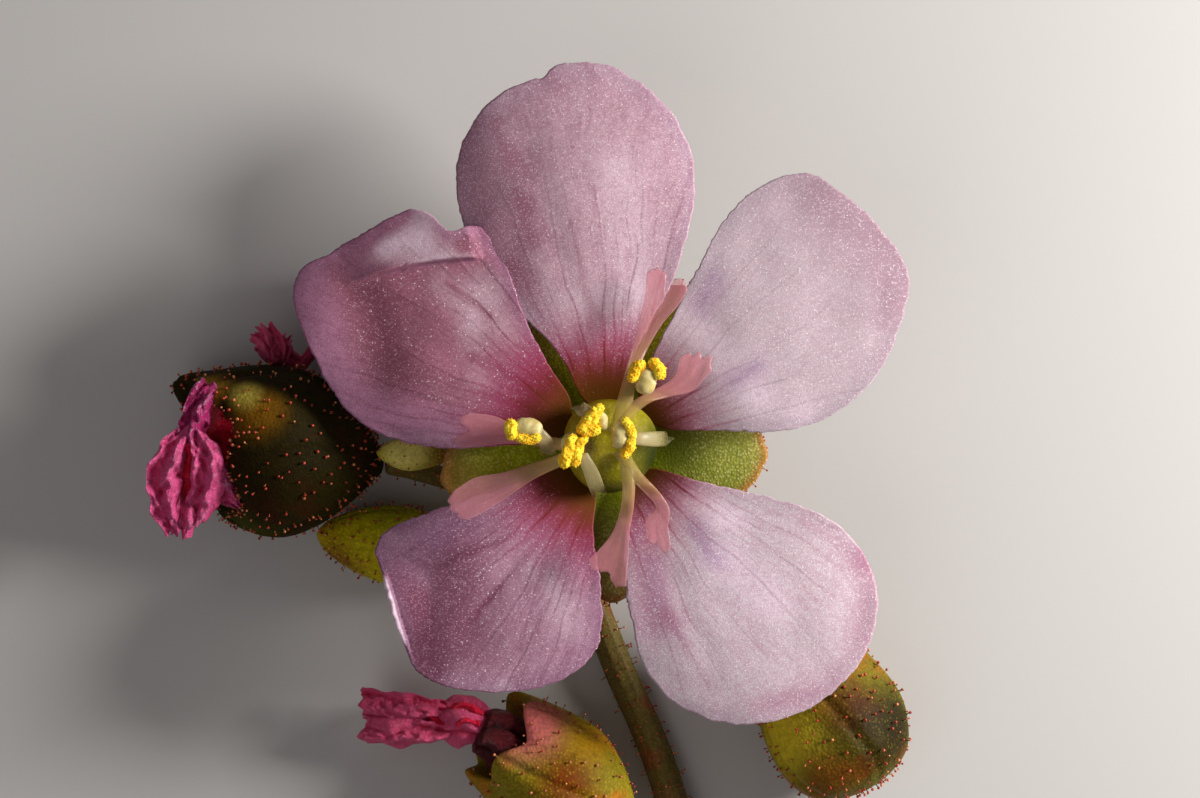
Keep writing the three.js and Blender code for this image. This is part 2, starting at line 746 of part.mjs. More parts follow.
placeCalyx(
  'spent_left_calyx',
  {
    base: [-7.75, -0.64, 2.87],
    tip: [-14, 0.1, 2.87],
    profile: openProfile(6.2, 2.93, 2.35),
    mouthTilt: 1,
    mouthSlant: 0.85,
    teeth: 0.5,
    glands: 44,
    glandRange: [0.8, 4.4],
  },
  CALYX_DARK,
);
const leftCorolla = grownTogether([
  stem([[-12.6, -0.1, 3], [-14.1, 0.05, 3.6]], 0.5, 0.8, 8, 1),
  witheredCorolla(
    [
      [-14, 1.95, 4.85], [-14.05, 1.2, 4.75], [-14.15, 0.1, 4.5], [-14.35, -1.2, 4.25],
      [-14.5, -2.3, 3.85], [-14.6, -3.3, 3.2],
    ],
    [0.45, 0.7, 0.95, 1.35, 1.2, 0.5],
  ),
]);
place('spent_left_corolla', toGeometry(leftCorolla), WITHERED_MAGENTA);

placeCalyx(
  'spent_behind_calyx',
  {
    base: [-4.3, 4, 1.99],
    tip: [-9.5, 4.75, 1.99],
    profile: openProfile(5.3, 2.05, 1.5),
    mouthTilt: 0.4,
    teeth: 0.5,
    glands: 26,
    glandRange: [0.9, 4],
  },
  CALYX_DARK,
);
place(
  'spent_behind_corolla',
  witheredCorolla(
    [
      [-8.5, 4.6, 2.1], [-9.5, 4.35, 2], [-10.2, 3.35, 1.05], [-10.85, 2.75, 0.8], [-11.4, 3.1, 1.6],
      [-11.7, 3.45, 2.4], [-12, 3.85, 3],
    ],
    [0.4, 0.4, 0.3, 0.3, 0.4, 0.6, 0.45],
  ),
  WITHERED_MAGENTA,
);

placeCalyx(
  'spent_bottom_calyx',
  {
    base: [0.9, -13.45, 2.14],
    tip: [-3.9, -10, 2.14],
    profile: openProfile(5.9, 2.2, 1.75),
    mouthTilt: 0.5,
    teeth: 0.5,
    glands: 26,
    glandRange: [0.9, 4.3],
  },
  CALYX_OLIVE,
);
const bottomCorolla = witheredCorolla(
  [
    [-2.9, -10.75, 2.2], [-3.8, -10.05, 2.6], [-4.8, -9.6, 2.45], [-5.6, -9.6, 1.95],
    [-7, -9.6, 1.65], [-8.5, -9.5, 1.3],
  ],
  [0.4, 0.8, 1.1, 0.75, 1.15, 1.2, 0.8],
);
place('spent_bottom_corolla', bottomCorolla, WITHERED_MAGENTA);

placeCalyx(
  'closed_left_calyx',
  {
    base: [-3.5, -4, 1.3],
    tip: [-10.2, -3.15, 1.3],
    profile: closedProfile(6.75, 1.36, 0.3),
    glands: 24,
    glandRange: [1, 5],
  },
  CALYX_OLIVE,
);

placeCalyx(
  'closed_right_calyx',
  {
    base: [5.5, -5.4, 2.34],
    tip: [8.85, -11.95, 2.34],
    profile: closedProfile(7.35, 2.4, 1),
    glands: 36,
    glandRange: [1, 6.3],
  },
  CALYX_OLIVE,
);

const BUDS = {
  bud_small: { base: [-5.25, -0.36, 3.55], tip: [-7.95, -0.3, 3.8], length: 2.7, radius: 0.58 },
  bud_tip_first: { base: [3.87, -3.3, 0.6], tip: [3.5, -5.35, 0.6], length: 2.1, radius: 0.66 },
  bud_tip_second: { base: [3.35, -2.85, 0.5], tip: [1.6, -3.6, 0.5], length: 1.9, radius: 0.56 },
  bud_tip_third: { base: [4.6, -3.05, 0.44], tip: [5.1, -4.65, 0.44], length: 1.65, radius: 0.5 },
};
for (const [name, { base, tip, length, radius }] of Object.entries(BUDS)) {
  const profile = closedProfile(length, radius, 0.2);
  const body = toManifold(calyxBody({ base, tip, profile, sides: 10 }));
  place(name, toGeometry(restedFlat(body)), BUD_GREEN);
}

export default part;
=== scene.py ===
# %% [markdown]
# # The flowering tip of a sundew stalk
#
# A sundew bears its flowers one after another along a curled stalk. Here one flower is open
# and faces up, and round it lie spent flowers with withered petals, closed calyces and buds.
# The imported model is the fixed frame: every fine piece below replaces one of its plain solids
# and stays where that solid is. All shapes are worked out in millimetres and made metres last.

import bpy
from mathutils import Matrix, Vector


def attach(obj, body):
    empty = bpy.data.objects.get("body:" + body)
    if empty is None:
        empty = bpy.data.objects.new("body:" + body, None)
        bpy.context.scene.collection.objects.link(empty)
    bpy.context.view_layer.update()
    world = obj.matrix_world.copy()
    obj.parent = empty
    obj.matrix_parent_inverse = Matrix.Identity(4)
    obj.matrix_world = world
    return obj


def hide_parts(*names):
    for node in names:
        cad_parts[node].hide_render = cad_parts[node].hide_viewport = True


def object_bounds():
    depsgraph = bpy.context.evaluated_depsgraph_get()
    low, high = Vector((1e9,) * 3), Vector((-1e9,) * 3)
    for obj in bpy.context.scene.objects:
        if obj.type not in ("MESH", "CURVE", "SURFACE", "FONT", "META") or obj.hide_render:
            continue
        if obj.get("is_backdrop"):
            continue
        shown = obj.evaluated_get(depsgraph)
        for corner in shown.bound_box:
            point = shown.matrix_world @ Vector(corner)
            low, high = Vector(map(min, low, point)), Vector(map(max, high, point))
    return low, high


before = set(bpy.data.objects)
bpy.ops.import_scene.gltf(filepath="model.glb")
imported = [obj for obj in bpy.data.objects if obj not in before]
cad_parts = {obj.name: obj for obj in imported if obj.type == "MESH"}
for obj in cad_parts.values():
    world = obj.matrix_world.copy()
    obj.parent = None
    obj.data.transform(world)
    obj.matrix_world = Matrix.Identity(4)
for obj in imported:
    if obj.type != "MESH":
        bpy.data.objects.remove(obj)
cad_box = [list(corner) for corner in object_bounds()]
print("nodes in the frame:", len(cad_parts))

# %% What the cells need
import bisect
import math
import random

import bmesh
import bpy
from mathutils import Matrix, Vector, noise

MM = 0.001
BODY = "root"
UP = Vector((0, 0, 1))


# %% [markdown]
# ## Camera
# A cut stem lies on the table and is looked at from straight above. A long lens keeps the
# petals, which stand a few millimetres above the table, from spreading towards the edges.

# %% Camera
VIEW_WIDTH = 40  # millimetres across the picture at the petals' height
VIEW_MIDDLE = (-0.333, 1.533)
PETAL_LEVEL = 6
LENS = 100
SENSOR = 36

camera_data = bpy.data.cameras.new("overhead")
camera_data.lens = LENS
camera_data.sensor_width = SENSOR
camera_data.clip_start = 0.005
camera_data.clip_end = 5
camera = bpy.data.objects.new("overhead", camera_data)
camera_height = PETAL_LEVEL + VIEW_WIDTH * LENS / SENSOR
camera.location = Vector((*VIEW_MIDDLE, camera_height)) * MM
bpy.context.collection.objects.link(camera)
bpy.context.scene.camera = camera
print("camera height in mm:", round(camera_height, 1))


# %% [markdown]
# ## Floor and light
# The floor is plain and pale. One large soft light stands low at the right, so that the
# domed petals turn from bright to dark across their width, and a weak one fills from the left.

# %% Floor
FLOOR_SIZE = 1.2

floor_bm = bmesh.new()
bmesh.ops.create_grid(floor_bm, x_segments=1, y_segments=1, size=FLOOR_SIZE / 2)
floor_mesh = bpy.data.meshes.new("floor")
floor_bm.to_mesh(floor_mesh)
floor_bm.free()
floor = bpy.data.objects.new("floor", floor_mesh)
bpy.context.collection.objects.link(floor)

pale = bpy.data.materials.new("pale_floor")
pale.use_nodes = True
pale_sockets = pale.node_tree.nodes["Principled BSDF"].inputs
pale_sockets["Base Color"].default_value = (0.55, 0.54, 0.53, 1)
pale_sockets["Roughness"].default_value = 0.9
floor_mesh.materials.append(pale)
floor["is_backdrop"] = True


# %% Lights
def soft_light(name, place_mm, aim_mm, size_mm, power, colour):
    data = bpy.data.lights.new(name, "AREA")
    data.shape = "DISK"
    data.size = size_mm * MM
    data.energy = power
    data.color = colour
    lamp = bpy.data.objects.new(name, data)
    lamp.location = Vector(place_mm) * MM
    aim = Vector(aim_mm) * MM - lamp.location
    lamp.rotation_euler = aim.to_track_quat("-Z", "Y").to_euler()
    bpy.context.collection.objects.link(lamp)


KEY_PLACE = (91, 22, 50)
FILL_PLACE = (-60, -50, 120)
soft_light("key", KEY_PLACE, (2, 0, 5), size_mm=40, power=0.19, colour=(1, 0.96, 0.92))
soft_light("fill", FILL_PLACE, (-2, 0, 4), size_mm=120, power=0.025, colour=(1, 0.95, 0.94))

world = bpy.data.worlds.new("studio")
world.use_nodes = True
sky = world.node_tree.nodes["Background"].inputs
sky["Color"].default_value = (0.85, 0.82, 0.82, 1)
sky["Strength"].default_value = 0.17
bpy.context.scene.world = world
bpy.context.scene.view_settings.view_transform = "Standard"


# %% [markdown]
# ## Shader sums
# A finish is easier to read as sums than as a web of nodes. `Value` wraps a socket so that
# `1 - mask * 0.5` adds the Math nodes itself, and `Finish` makes every other node through
# one method, `node`, which takes the node's type, its settings and what goes into its sockets.

# %% Shader sums
class Value:
    """A node's output that can be used in sums. Each sum adds a Math node."""

    def __init__(self, finish, socket):
        self.finish = finish
        self.socket = socket

    def _sum(self, operation, first, second):
        sockets = {"Value": first, "Value_001": second}
        return self.finish.node("ShaderNodeMath", {"operation": operation}, sockets)

    def __add__(self, other):
        return self._sum("ADD", self, other)

    def __radd__(self, other):
        return self._sum("ADD", other, self)

    def __sub__(self, other):
        return self._sum("SUBTRACT", self, other)

    def __rsub__(self, other):
        return self._sum("SUBTRACT", other, self)

    def __mul__(self, other):
        return self._sum("MULTIPLY", self, other)

    def __gt__(self, other):
        return self._sum("GREATER_THAN", self, other)

    def __abs__(self):
        return self._sum("ABSOLUTE", self, 0)

    def fraction(self):
        return self._sum("FRACT", self, 0)

    def rise(self, low, high):
        """0 below low, 1 above high, and a smooth rise between."""
        sockets = {"Value": self, "From Min": low, "From Max": high}
        return self.finish.node("ShaderNodeMapRange", {"interpolation_type": "SMOOTHSTEP"}, sockets)


class Finish:
    """A material under construction."""

    def __init__(self, name):
        self.material = bpy.data.materials.new(name)
        self.material.use_nodes = True
        self.tree = self.material.node_tree
        self.tree.nodes.clear()

    def node(self, kind, settings, sockets, output=0):
        node = self.tree.nodes.new(kind)
        for key, value in settings.items():
            if key == "stops":
                while len(node.color_ramp.elements) < len(value):
                    node.color_ramp.elements.new(0.5)
                for element, (position, colour) in zip(node.color_ramp.elements, value):
                    element.position = position
                    element.color = (*colour, 1)
            else:
                setattr(node, key, value)
        by_identifier = {socket.identifier: socket for socket in node.inputs}
        for key, value in sockets.items():
            socket = by_identifier[key]
            if isinstance(value, Value):
                self.tree.links.new(value.socket, socket)
            elif socket.type == "RGBA":
                socket.default_value = (*value, 1)
            else:
                socket.default_value = value
        return Value(self, node.outputs[output])

    def mix(self, share, first, second):
        """A colour between two colours."""
        sockets = {"Factor_Float": share, "A_Color": first, "B_Color": second}
        return self.node("ShaderNodeMix", {"data_type": "RGBA"}, sockets, output=2)

    def place(self):
        """Object coordinates, in metres."""
        return self.node("ShaderNodeTexCoord", {}, {}, output=3)

    def uv(self):
        """The piece's own map, as its two numbers."""
        both = self.node("ShaderNodeUVMap", {"uv_map": "UVMap"}, {})
        return [self.node("ShaderNodeSeparateXYZ", {}, {"Vector": both}, output=i) for i in (0, 1)]

    def pair(self, x, y):
        return self.node("ShaderNodeCombineXYZ", {}, {"X": x, "Y": y, "Z": 0})

    def noise(self, vector, scale, detail=2, roughness=0.5, distortion=0):
        sockets = {"Vector": vector, "Scale": scale, "Detail": detail}
        sockets |= {"Roughness": roughness, "Distortion": distortion}
        return self.node("ShaderNodeTexNoise", {}, sockets)

    def cells(self, vector, scale, output=0):
        """Voronoi cells: output 0 is the distance from a cell's middle, 1 its own colour."""
        return self.node("ShaderNodeTexVoronoi", {}, {"Vector": vector, "Scale": scale}, output)

    def own(self, vector, scale):
        """A number of its own for each Voronoi cell."""
        return self.node("ShaderNodeSeparateColor", {}, {"Color": self.cells(vector, scale, 1)})

    def near(self, place, centre_mm, reach_mm):
        """1 at a point and 0 past its reach."""
        sockets = {"Vector": place, "Vector_001": tuple(MM * number for number in centre_mm)}
        away = self.node("ShaderNodeVectorMath", {"operation": "DISTANCE"}, sockets, output=1)
        return 1 - away.rise(0.15 * reach_mm * MM, reach_mm * MM)

    def layer(self, name):
        """A number that the mesh itself carries at each point."""
        return self.node("ShaderNodeAttribute", {"attribute_name": name}, {}, output=2)

    def bump(self, height, strength, depth_mm, under=None):
        sockets = {"Height": height, "Strength": strength, "Distance": depth_mm * MM}
        if under is not None:
            sockets["Normal"] = under
        return self.node("ShaderNodeBump", {}, sockets)

    def close(self, base, roughness, normal, flesh, shine=0.5, more=()):
        """The surface itself. flesh says how light spreads below it: its share, its reach for
        red, green and blue, and the scale of that reach in millimetres."""
        share, reach, scale_mm = flesh
        sockets = {"Base Color": base, "Roughness": roughness, "Normal": normal}
        sockets |= {"Specular IOR Level": shine, "Subsurface Weight": share}
        sockets |= {"Subsurface Radius": reach, "Subsurface Scale": scale_mm * MM, **dict(more)}
        surface = self.node("ShaderNodeBsdfPrincipled", {}, sockets)
        end = self.tree.nodes.new("ShaderNodeOutputMaterial")
        self.tree.links.new(surface.socket, end.inputs["Surface"])
        return self.material


def per_metre(size_mm):
    """The texture scale whose cells are about size_mm wide on Object coordinates."""
    return 1 / (size_mm * MM)


# %% [markdown]
# ## Finishes
# Fresh petals are pale and veined, darker and redder towards the claw, and set with tiny
# papillae. The papillae are Voronoi cells: each domes a little, and a few of them are painted
# with glints where the surface faces the key lamp. Light and shade are painted on as well,
# along lines listed for each petal. Veins run along the petal's own map, whose lines fan out
# from the claw, so they follow the surface from any side.

# %% Petal finish
PAPILLA = 0.05  # a papilla's width
FAN_SPREAD = 2  # radians across the petal's map
MAP_LENGTH = 16  # millimetres along it
FAN_ORIGIN = -1  # where a petal's fan of veins starts, along its middle line
PETAL_LAYERS = ("tone", "rim", "lit", "blotch", "calm")
PETAL_FLESH = (0.15, (0.9, 0.4, 0.45), 0.35)
# The tint of painted light on a petal.
PAINTED_LIGHT_TINT = (0.9, 0.74, 0.86)
LAVENDER = (0.36, 0.2, 0.4)
ROSE = (0.4, 0.055, 0.15)
CRIMSON = (0.24, 0.018, 0.028)
OLIVE = (0.12, 0.04, 0.003)
# Painted glints: the colours of papillae painted as catching the key lamp.
FAINT_GLINT = (0.95, 0.84, 0.88)
STRONG_GLINT = (1, 0.93, 0.9)


def toned(colour, times, plus=0):
    """The colour made lighter or darker."""
    return tuple(min(1, times * channel + plus) for channel in colour)


def vein_lines(finish, across, reach, sway, count, width_mm):
    """Lines that fan out from the claw, each width_mm wide all along."""
    lane = across * count + sway
    gap_mm = (reach - FAN_ORIGIN) * (FAN_SPREAD / count)
    off = abs(lane.fraction() - 0.5) * gap_mm
    return 1 - off.rise(0.2 * width_mm, width_mm)


def petal_finish(name, body, deep, margin, veins, claw):
    """body and deep are the tissue and its veins, and deep is also the colour of painted shade;
    margin is the tint of the outer edge and of the painted shade on sides turned from the key
    lamp. claw moves the crimson of the claw in or out, in millimetres."""
    finish = Finish(name)
    place = finish.place()
    across, along = finish.uv()
    reach = along * MAP_LENGTH
    tone, rim, lit, blotch, calm = (finish.layer(layer) for layer in PETAL_LAYERS)

    drift = finish.noise(finish.pair(across * 5, along * 4), 1)
    streaks = finish.noise(finish.pair(across * 60 + drift * 4, along * 7), 1, 3, 0.65)
    patchy = finish.noise(finish.pair(across * 11, along * 5), 1)
    main = vein_lines(finish, across, reach, drift * 0.9, 13, 0.07) * patchy.rise(0.38, 0.6)
    main = main * reach.rise(1.5, 3) * (1 - reach.rise(6, 11))
    side = vein_lines(finish, across, reach, drift * 3, 37, 0.06) * (1 - patchy.rise(0.35, 0.6))
    side = side * reach.rise(2.5, 4.5) * (1 - reach.rise(7, 11.5))
    vein = (main * 0.8 + side * 0.45) * (0.35 + streaks)

    base = finish.mix(rim.rise(0.8, 1) * 0.6, body, margin)
    base = finish.mix(calm * 0.6, base, margin)
    base = finish.mix(streaks.rise(0.42, 0.72) * 0.45 * veins, base, deep)
    # Painted shade: sides turned away from the key lamp lean towards the margin's tint.
    base = finish.mix((1 - lit.rise(0.1, 0.45)) * 0.35, base, margin)
    # Painted light and shade along the listed lines: a minus value leans to deep, a plus one to the light
    # tint.
    base = finish.mix((0 - tone).rise(0, 1), base, deep)
    base = finish.mix(tone.rise(0, 1), base, PAINTED_LIGHT_TINT)
    base = finish.mix(vein * veins, base, toned(deep, 0.55))
    base = finish.mix(blotch * (0.35 + streaks * 0.5), base, LAVENDER)

    edge = drift * 1.4 + vein * 0.9 + streaks * 0.9 - 1.4 + claw
    base = finish.mix((1 - (reach - edge).rise(2.4, 4.7)) * 0.85, base, ROSE)
    base = finish.mix((1 - (reach - edge).rise(1.9, 3.5)) * 0.95, base, CRIMSON)
    base = finish.mix(1 - (reach - edge * 0.5).rise(1.5, 3.1), base, OLIVE)

    cell = finish.cells(place, per_metre(PAPILLA))
    own = finish.own(place, per_metre(PAPILLA))
    claw_free = (reach - edge).rise(1.8, 3.6)
    mottle = finish.noise(place, per_metre(0.2), 3, 0.75)
    base = finish.mix(mottle.rise(0.42, 0.7) * claw_free * 0.25, base, deep)
    base = finish.mix(cell.rise(0.3, 0.8) * claw_free * 0.25, base, deep)
    dome = own.rise(0.3, 1) * (1 - cell.rise(0.3, 0.7))
    base = finish.mix(dome * claw_free * 0.4, base, toned(body, 1.35, 0.06))
    # Painted glints, only where the surface faces the key lamp and it is not calm.
    bright = lit.rise(0.2, 0.45) * (0.15 + claw_free * 0.85) * (1 - calm)
    grouped = finish.noise(place, per_metre(1.4)).rise(0.35, 0.62) + tone.rise(0, 1)
    faint = (own > (0.9 - grouped * 0.1)) * (1 - cell.rise(0.15, 0.55)) * bright
    strong = (own > (0.99 - grouped * 0.018)) * (1 - cell.rise(0.25, 0.6)) * bright
    base = finish.mix(faint * 0.22, base, FAINT_GLINT)
    base = finish.mix(strong * 0.58, base, STRONG_GLINT)

    normal = finish.bump(vein, 0.15, 0.02)
    normal = finish.bump(mottle, 0.15, 0.03, normal)
    normal = finish.bump(1 - cell, 0.35, 0.012, normal)
    return finish.close(base, 0.5 - strong * 0.3, normal, PETAL_FLESH, 0.14)


# %% Green finishes: sepals, calyces, stalk and buds
GREEN_FLESH = (0.1, (0.6, 0.9, 0.2), 0.3)
SEPAL_GRAIN = 0.085
BLACK = (0, 0, 0)


def green_finish(name, body, flush, flush_share, grain_mm, glitter, spots=(), gloss=0.5, shine=0.12):
    """Fleshy green skin: a patchy flush over the body colour, fine swollen cells of which some
    carry painted glints, and spots, each a place, a reach and a colour. Some spots are the skin's
    own colour, and some are painted light or painted shade."""
    finish = Finish(name)
    place = finish.place()
    patch = finish.noise(place, per_metre(1.6), 3, 0.6)
    fine = finish.noise(place, per_metre(0.3), 2, 0.6)
    cell = finish.cells(place, per_metre(grain_mm))
    own = finish.own(place, per_metre(grain_mm))
    base = finish.mix(patch.rise(0.62 - flush_share, 0.78 - flush_share * 0.5), body, flush)
    for centre, reach, colour in spots:
        base = finish.mix(finish.near(place, centre, reach) * (0.55 + patch * 0.6), base, colour)
    base = finish.mix(fine.rise(0.45, 0.75) * 0.24, base, BLACK)
    base = finish.mix(cell.rise(0.25, 0.8) * 0.2, base, BLACK)
    # Painted glints on some of the cells.
    base = finish.mix((own > 0.6) * (1 - cell.rise(0.15, 0.5)) * glitter, base, toned(body, 1.8))
    normal = finish.bump(fine, 0.4, 0.05)
    normal = finish.bump(1 - cell, 0.5, 0.3 * grain_mm, normal)
    return finish.close(base, gloss, normal, GREEN_FLESH, shine)


def sepal_finish():
    """Green at the foot, paler and with painted glints further out, with a tan rim. The left
    sepal is flushed brown. Spots paint light on the sepals that lie in the petals' shade, and
    one paints shade beside the ovary."""
    finish = Finish("sepal_skin")
    place = finish.place()
    rim = finish.layer("rim")
    out = finish.layer("out")
    grain = finish.cells(place, per_metre(SEPAL_GRAIN))
    own = finish.own(place, per_metre(SEPAL_GRAIN))
    fine = finish.noise(place, per_metre(0.25), 3, 0.6)
    broad = finish.noise(place, per_metre(1.3))
    base = finish.mix(out.rise(0.3, 0.66), (0.3, 0.36, 0.004), (0.5, 0.54, 0.1))
    base = finish.mix(broad.rise(0.4, 0.65) * 0.4, base, (0.26, 0.33, 0.012))
    base = finish.mix(out.rise(0.76, 1) * 0.6, base, (0.5, 0.4, 0.12))
    # Painted light: these three sepals lie in the petals' shade.
    for centre in ((-1.6, 2.6, 4.2), (1.8, 3.7, 4.4), (-3.4, -0.5, 4.3)):
        base = finish.mix(finish.near(place, centre, 2.2) * 0.9, base, (0.72, 0.82, 0.01))
    base = finish.mix(finish.near(place, (0.1, -4.8, 4.5), 0.9), base, (0.8, 0.55, 0.18))
    # Painted shade beside the ovary.
    shade = finish.near(place, (2.3, -0.2, 4.2), 1.7)
    base = finish.mix(shade * 0.85, base, (0.06, 0.085, 0.003))
    brown = finish.near(place, (-5, -1.5, 4.6), 2.4)
    base = finish.mix(brown * (0.4 + broad * 0.9), base, (0.24, 0.11, 0.012))
    base = finish.mix((rim + fine * 0.12).rise(0.9, 1.04), base, (0.5, 0.22, 0.06))
    base = finish.mix(grain.rise(0.2, 0.7) * 0.45, base, (0.1, 0.11, 0.012))
    # Painted glints further out on the sepals.
    glitter = (own > 0.55) * (1 - grain.rise(0.14, 0.5)) * out.rise(0.42, 0.6) * (1 - brown)
    base = finish.mix(glitter * 0.5, base, (0.75, 0.76, 0.42))
    normal = finish.bump(1 - grain, 0.5, 0.03, finish.bump(fine, 0.3, 0.05))
    return finish.close(base, 0.45, normal, GREEN_FLESH, 0.08)


# %% Wet and translucent finishes: ovary, styles, filaments, gland heads
def flesh_finish(name, stops, opacity, gloss, fade=0.02):
    """Moist see-through tissue. Its colour runs along its own map through the stops, and its
    foot fades from sight over the first fade of its length."""
    finish = Finish(name)
    place = finish.place()
    across, along = finish.uv()
    wander = finish.noise(place, per_metre(0.5), 3, 0.6)
    along_stops = {"Fac": along + (wander - 0.5) * 0.2}
    base = finish.node("ShaderNodeValToRGB", {"stops": stops}, along_stops)
    tip = stops[-1][1]
    pale = toned(tip, 1.25, 0.05)
    streak = finish.noise(finish.pair(across * 30, along * 2), 1)
    base = finish.mix(streak.rise(0.4, 0.7) * 0.3, base, toned(tip, 0.6))
    speck = finish.noise(place, per_metre(0.12), 2, 0.6)
    base = finish.mix(speck.rise(0.5, 0.75) * 0.3, base, pale)
    # Painted highlight along the two edges, which are also less see-through.
    side = abs(across * 2 - 1)
    side = abs(side * 2 - 1).rise(0.72, 1)
    base = finish.mix(side * 0.3, base, pale)
    normal = finish.bump(speck, 0.3, 0.03)
    alpha = (opacity + side * 0.2) * along.rise(0.4 * fade, fade)
    return finish.close(base, gloss, normal, (0.25, (1, 0.6, 0.4), 0.4), more={"Alpha": alpha})


def ovary_finish():
    finish = Finish("ovary_skin")
    place = finish.place()
    patch = finish.noise(place, per_metre(0.9), 3, 0.6)
    grain = finish.cells(place, per_metre(0.12))
    base = finish.mix(patch.rise(0.35, 0.7), (0.3, 0.27, 0.004), (0.52, 0.43, 0.02))
    base = finish.mix((1 - grain.rise(0.1, 0.45)) * 0.3, base, (0.75, 0.7, 0.2))
    # Painted shade over the ovary's right side; its coat and gloss fade there too.
    dark = finish.near(place, (1.6, -0.3, 6.1), 2.3)
    base = finish.mix(dark, base, (0.02, 0.028, 0))
    # Painted shade on the ovary's side towards the lower petals.
    base = finish.mix(finish.near(place, (0.2, -1.6, 6.1), 1.7), base, (0.05, 0.055, 0.001))
    roughness = 0.26 + dark * 0.6
    normal = finish.bump(1 - grain, 0.5, 0.025)
    coat = {"Coat Weight": 0.1 - dark * 0.1, "Coat Roughness": 0.2}
    return finish.close(base, roughness, normal, (0.12, (0.8, 1, 0.2), 0.3), 0.15, coat)


def bead_finish(name, colour, deep, gloss, size_mm=0.2):
    """Small round beads: gland heads and pollen grains, each of a slightly different shade."""
    finish = Finish(name)
    place = finish.place()
    shade = finish.noise(place, per_metre(size_mm), 2, 0.6)
    base = finish.mix(shade.rise(0.38, 0.66), deep, colour)
    normal = finish.bump(finish.noise(place, per_metre(0.05), 1), 0.3, 0.02)
    return finish.close(base, gloss, normal, (0.15, (1, 0.5, 0.3), 0.15))


# %% Withered petal finish
def withered_finish(name, bright, deep, painted_sheen, silky):
    """Shrunken petals: deep in the folds and bright on the ridges, as painted shade and light, streaked,
    with a painted silky sheen.
    """
    finish = Finish(name)
    place = finish.place()
    round_it, along = finish.uv()
    ridge = finish.layer("ridge")
    wander = finish.noise(finish.pair(round_it * 7, along * 3), 1)
    streak = finish.noise(finish.pair(round_it * 40 + wander * 6, along * 4), 1, 3, 0.6)
    crinkle = finish.noise(place, per_metre(0.11), 4, 0.65, 1)
    base = finish.mix((ridge * 0.6 + streak * 0.6).rise(0.25, 0.75), deep, bright)
    shine = (ridge * 0.3 + crinkle * 1.1 + streak * 0.3).rise(1.05 - silky * 0.35, 1.3 - silky * 0.3)
    base = finish.mix(shine * 0.85, base, painted_sheen)
    normal = finish.bump(crinkle, 1, 0.22, finish.bump(streak, 0.6, 0.06))
    return finish.close(base, 0.42, normal, (0.15, (1, 0.25, 0.4), 0.4), 0.3)


# %% The finishes of this stalk
SEPAL_SKIN = sepal_finish()
STALK_SKIN = green_finish("stalk_skin", (0.15, 0.11, 0.025), (0.22, 0.07, 0.025), 0.1, 0.1, 0.4)
LEFT_CALYX_SKIN = green_finish(
    "left_calyx_skin", (0.02, 0.014, 0.001), (0.045, 0.01, 0.002), 0.12, 0.1, 0.3,
    [
        # Painted light: the first two spots are a lit patch and its brownish edge. The third is painted
        # shade under the left petal. The orange lip in the fifth is the calyx's own colour, pushed bright
        # against the shade it lies in.
        ((-11.8, 1, 5.5), 1.4, (0.3, 0.13, 0.006)), ((-12.3, 1.8, 5.3), 0.9, (0.62, 0.5, 0.08)),
        ((-11, -0.6, 5.6), 2.4, (0.012, 0.008, 0)), ((-12, -2.4, 3.4), 1.5, (0.07, 0.075, 0.005)),
        ((-14.6, 1.4, 4.6), 1.6, (1, 0.45, 0.08)), ((-13.6, 2.3, 4.9), 1.2, (0.45, 0.24, 0.02)),
        ((-11, -3, 1.6), 2.2, (0.17, 0.045, 0.006)),
    ],
    gloss=0.7, shine=0.06,
)
DARK_SKIN = green_finish("dark_calyx_skin", (0.035, 0.035, 0.003), (0.1, 0.05, 0.01), 0, 0.1, 0.3)
YELLOW_SKIN = green_finish(
    "yellow_calyx_skin", (0.56, 0.46, 0.004), (0.5, 0.2, 0.008), 0.1, 0.11, 0.3,
    # The first spot is the orange-brown lower rim, darkened by painted shade.
    [((-9.5, -4.2, 1.7), 1.5, (0.22, 0.065, 0.006)), ((-7.4, -2.6, 2.2), 1.4, (0.4, 0.38, 0.012))],
    gloss=0.6, shine=0.1,
)
OLIVE_SKIN = green_finish(
    "olive_calyx_skin", (0.17, 0.14, 0.008), (0.34, 0.1, 0.01), 0.16, 0.11, 0.2,
    [
        ((5.8, -10, 4), 2.2, (0.8, 0.62, 0.03)), ((8.1, -8.9, 4.7), 1.7, (0.1, 0.03, 0.002)),
        # Both spots on this line are painted shade on the calyx's right side.
        ((9.2, -10, 4.3), 2.6, (0.01, 0.005, 0)), ((9.8, -9.4, 3.3), 2, (0.01, 0.005, 0)),
        ((7.4, -11.4, 4.4), 1.5, (0.24, 0.07, 0.006)),
    ],
    gloss=0.6, shine=0.1,
)
BOTTOM_CALYX_SKIN = green_finish(
    "bottom_calyx_skin", (0.26, 0.2, 0.008), (0.46, 0.15, 0.008), 0.12, 0.11, 0.3,
    [
        ((-2.7, -9.6, 3.3), 2, (1, 0.2, 0.24)), ((-1, -10.3, 3.2), 1.4, (0.7, 0.36, 0.006)),
        ((-1.5, -11.5, 4.3), 1.8, (0.18, 0.03, 0.001)),
    ],
    gloss=0.6, shine=0.1,
)
BUD_SKIN = green_finish(
    "bud_skin", (0.42, 0.36, 0.02), (0.34, 0.2, 0.03), 0.05, 0.09, 0.4,
    # The first spot is a painted highlight on the small bud.
    [((-6.9, -0.2, 4.3), 1.3, (1, 0.86, 0.24)), ((-5.4, -0.6, 4), 1.1, (0.2, 0.08, 0.01))],
    gloss=0.6, shine=0.15,
)
OVARY_SKIN = ovary_finish()
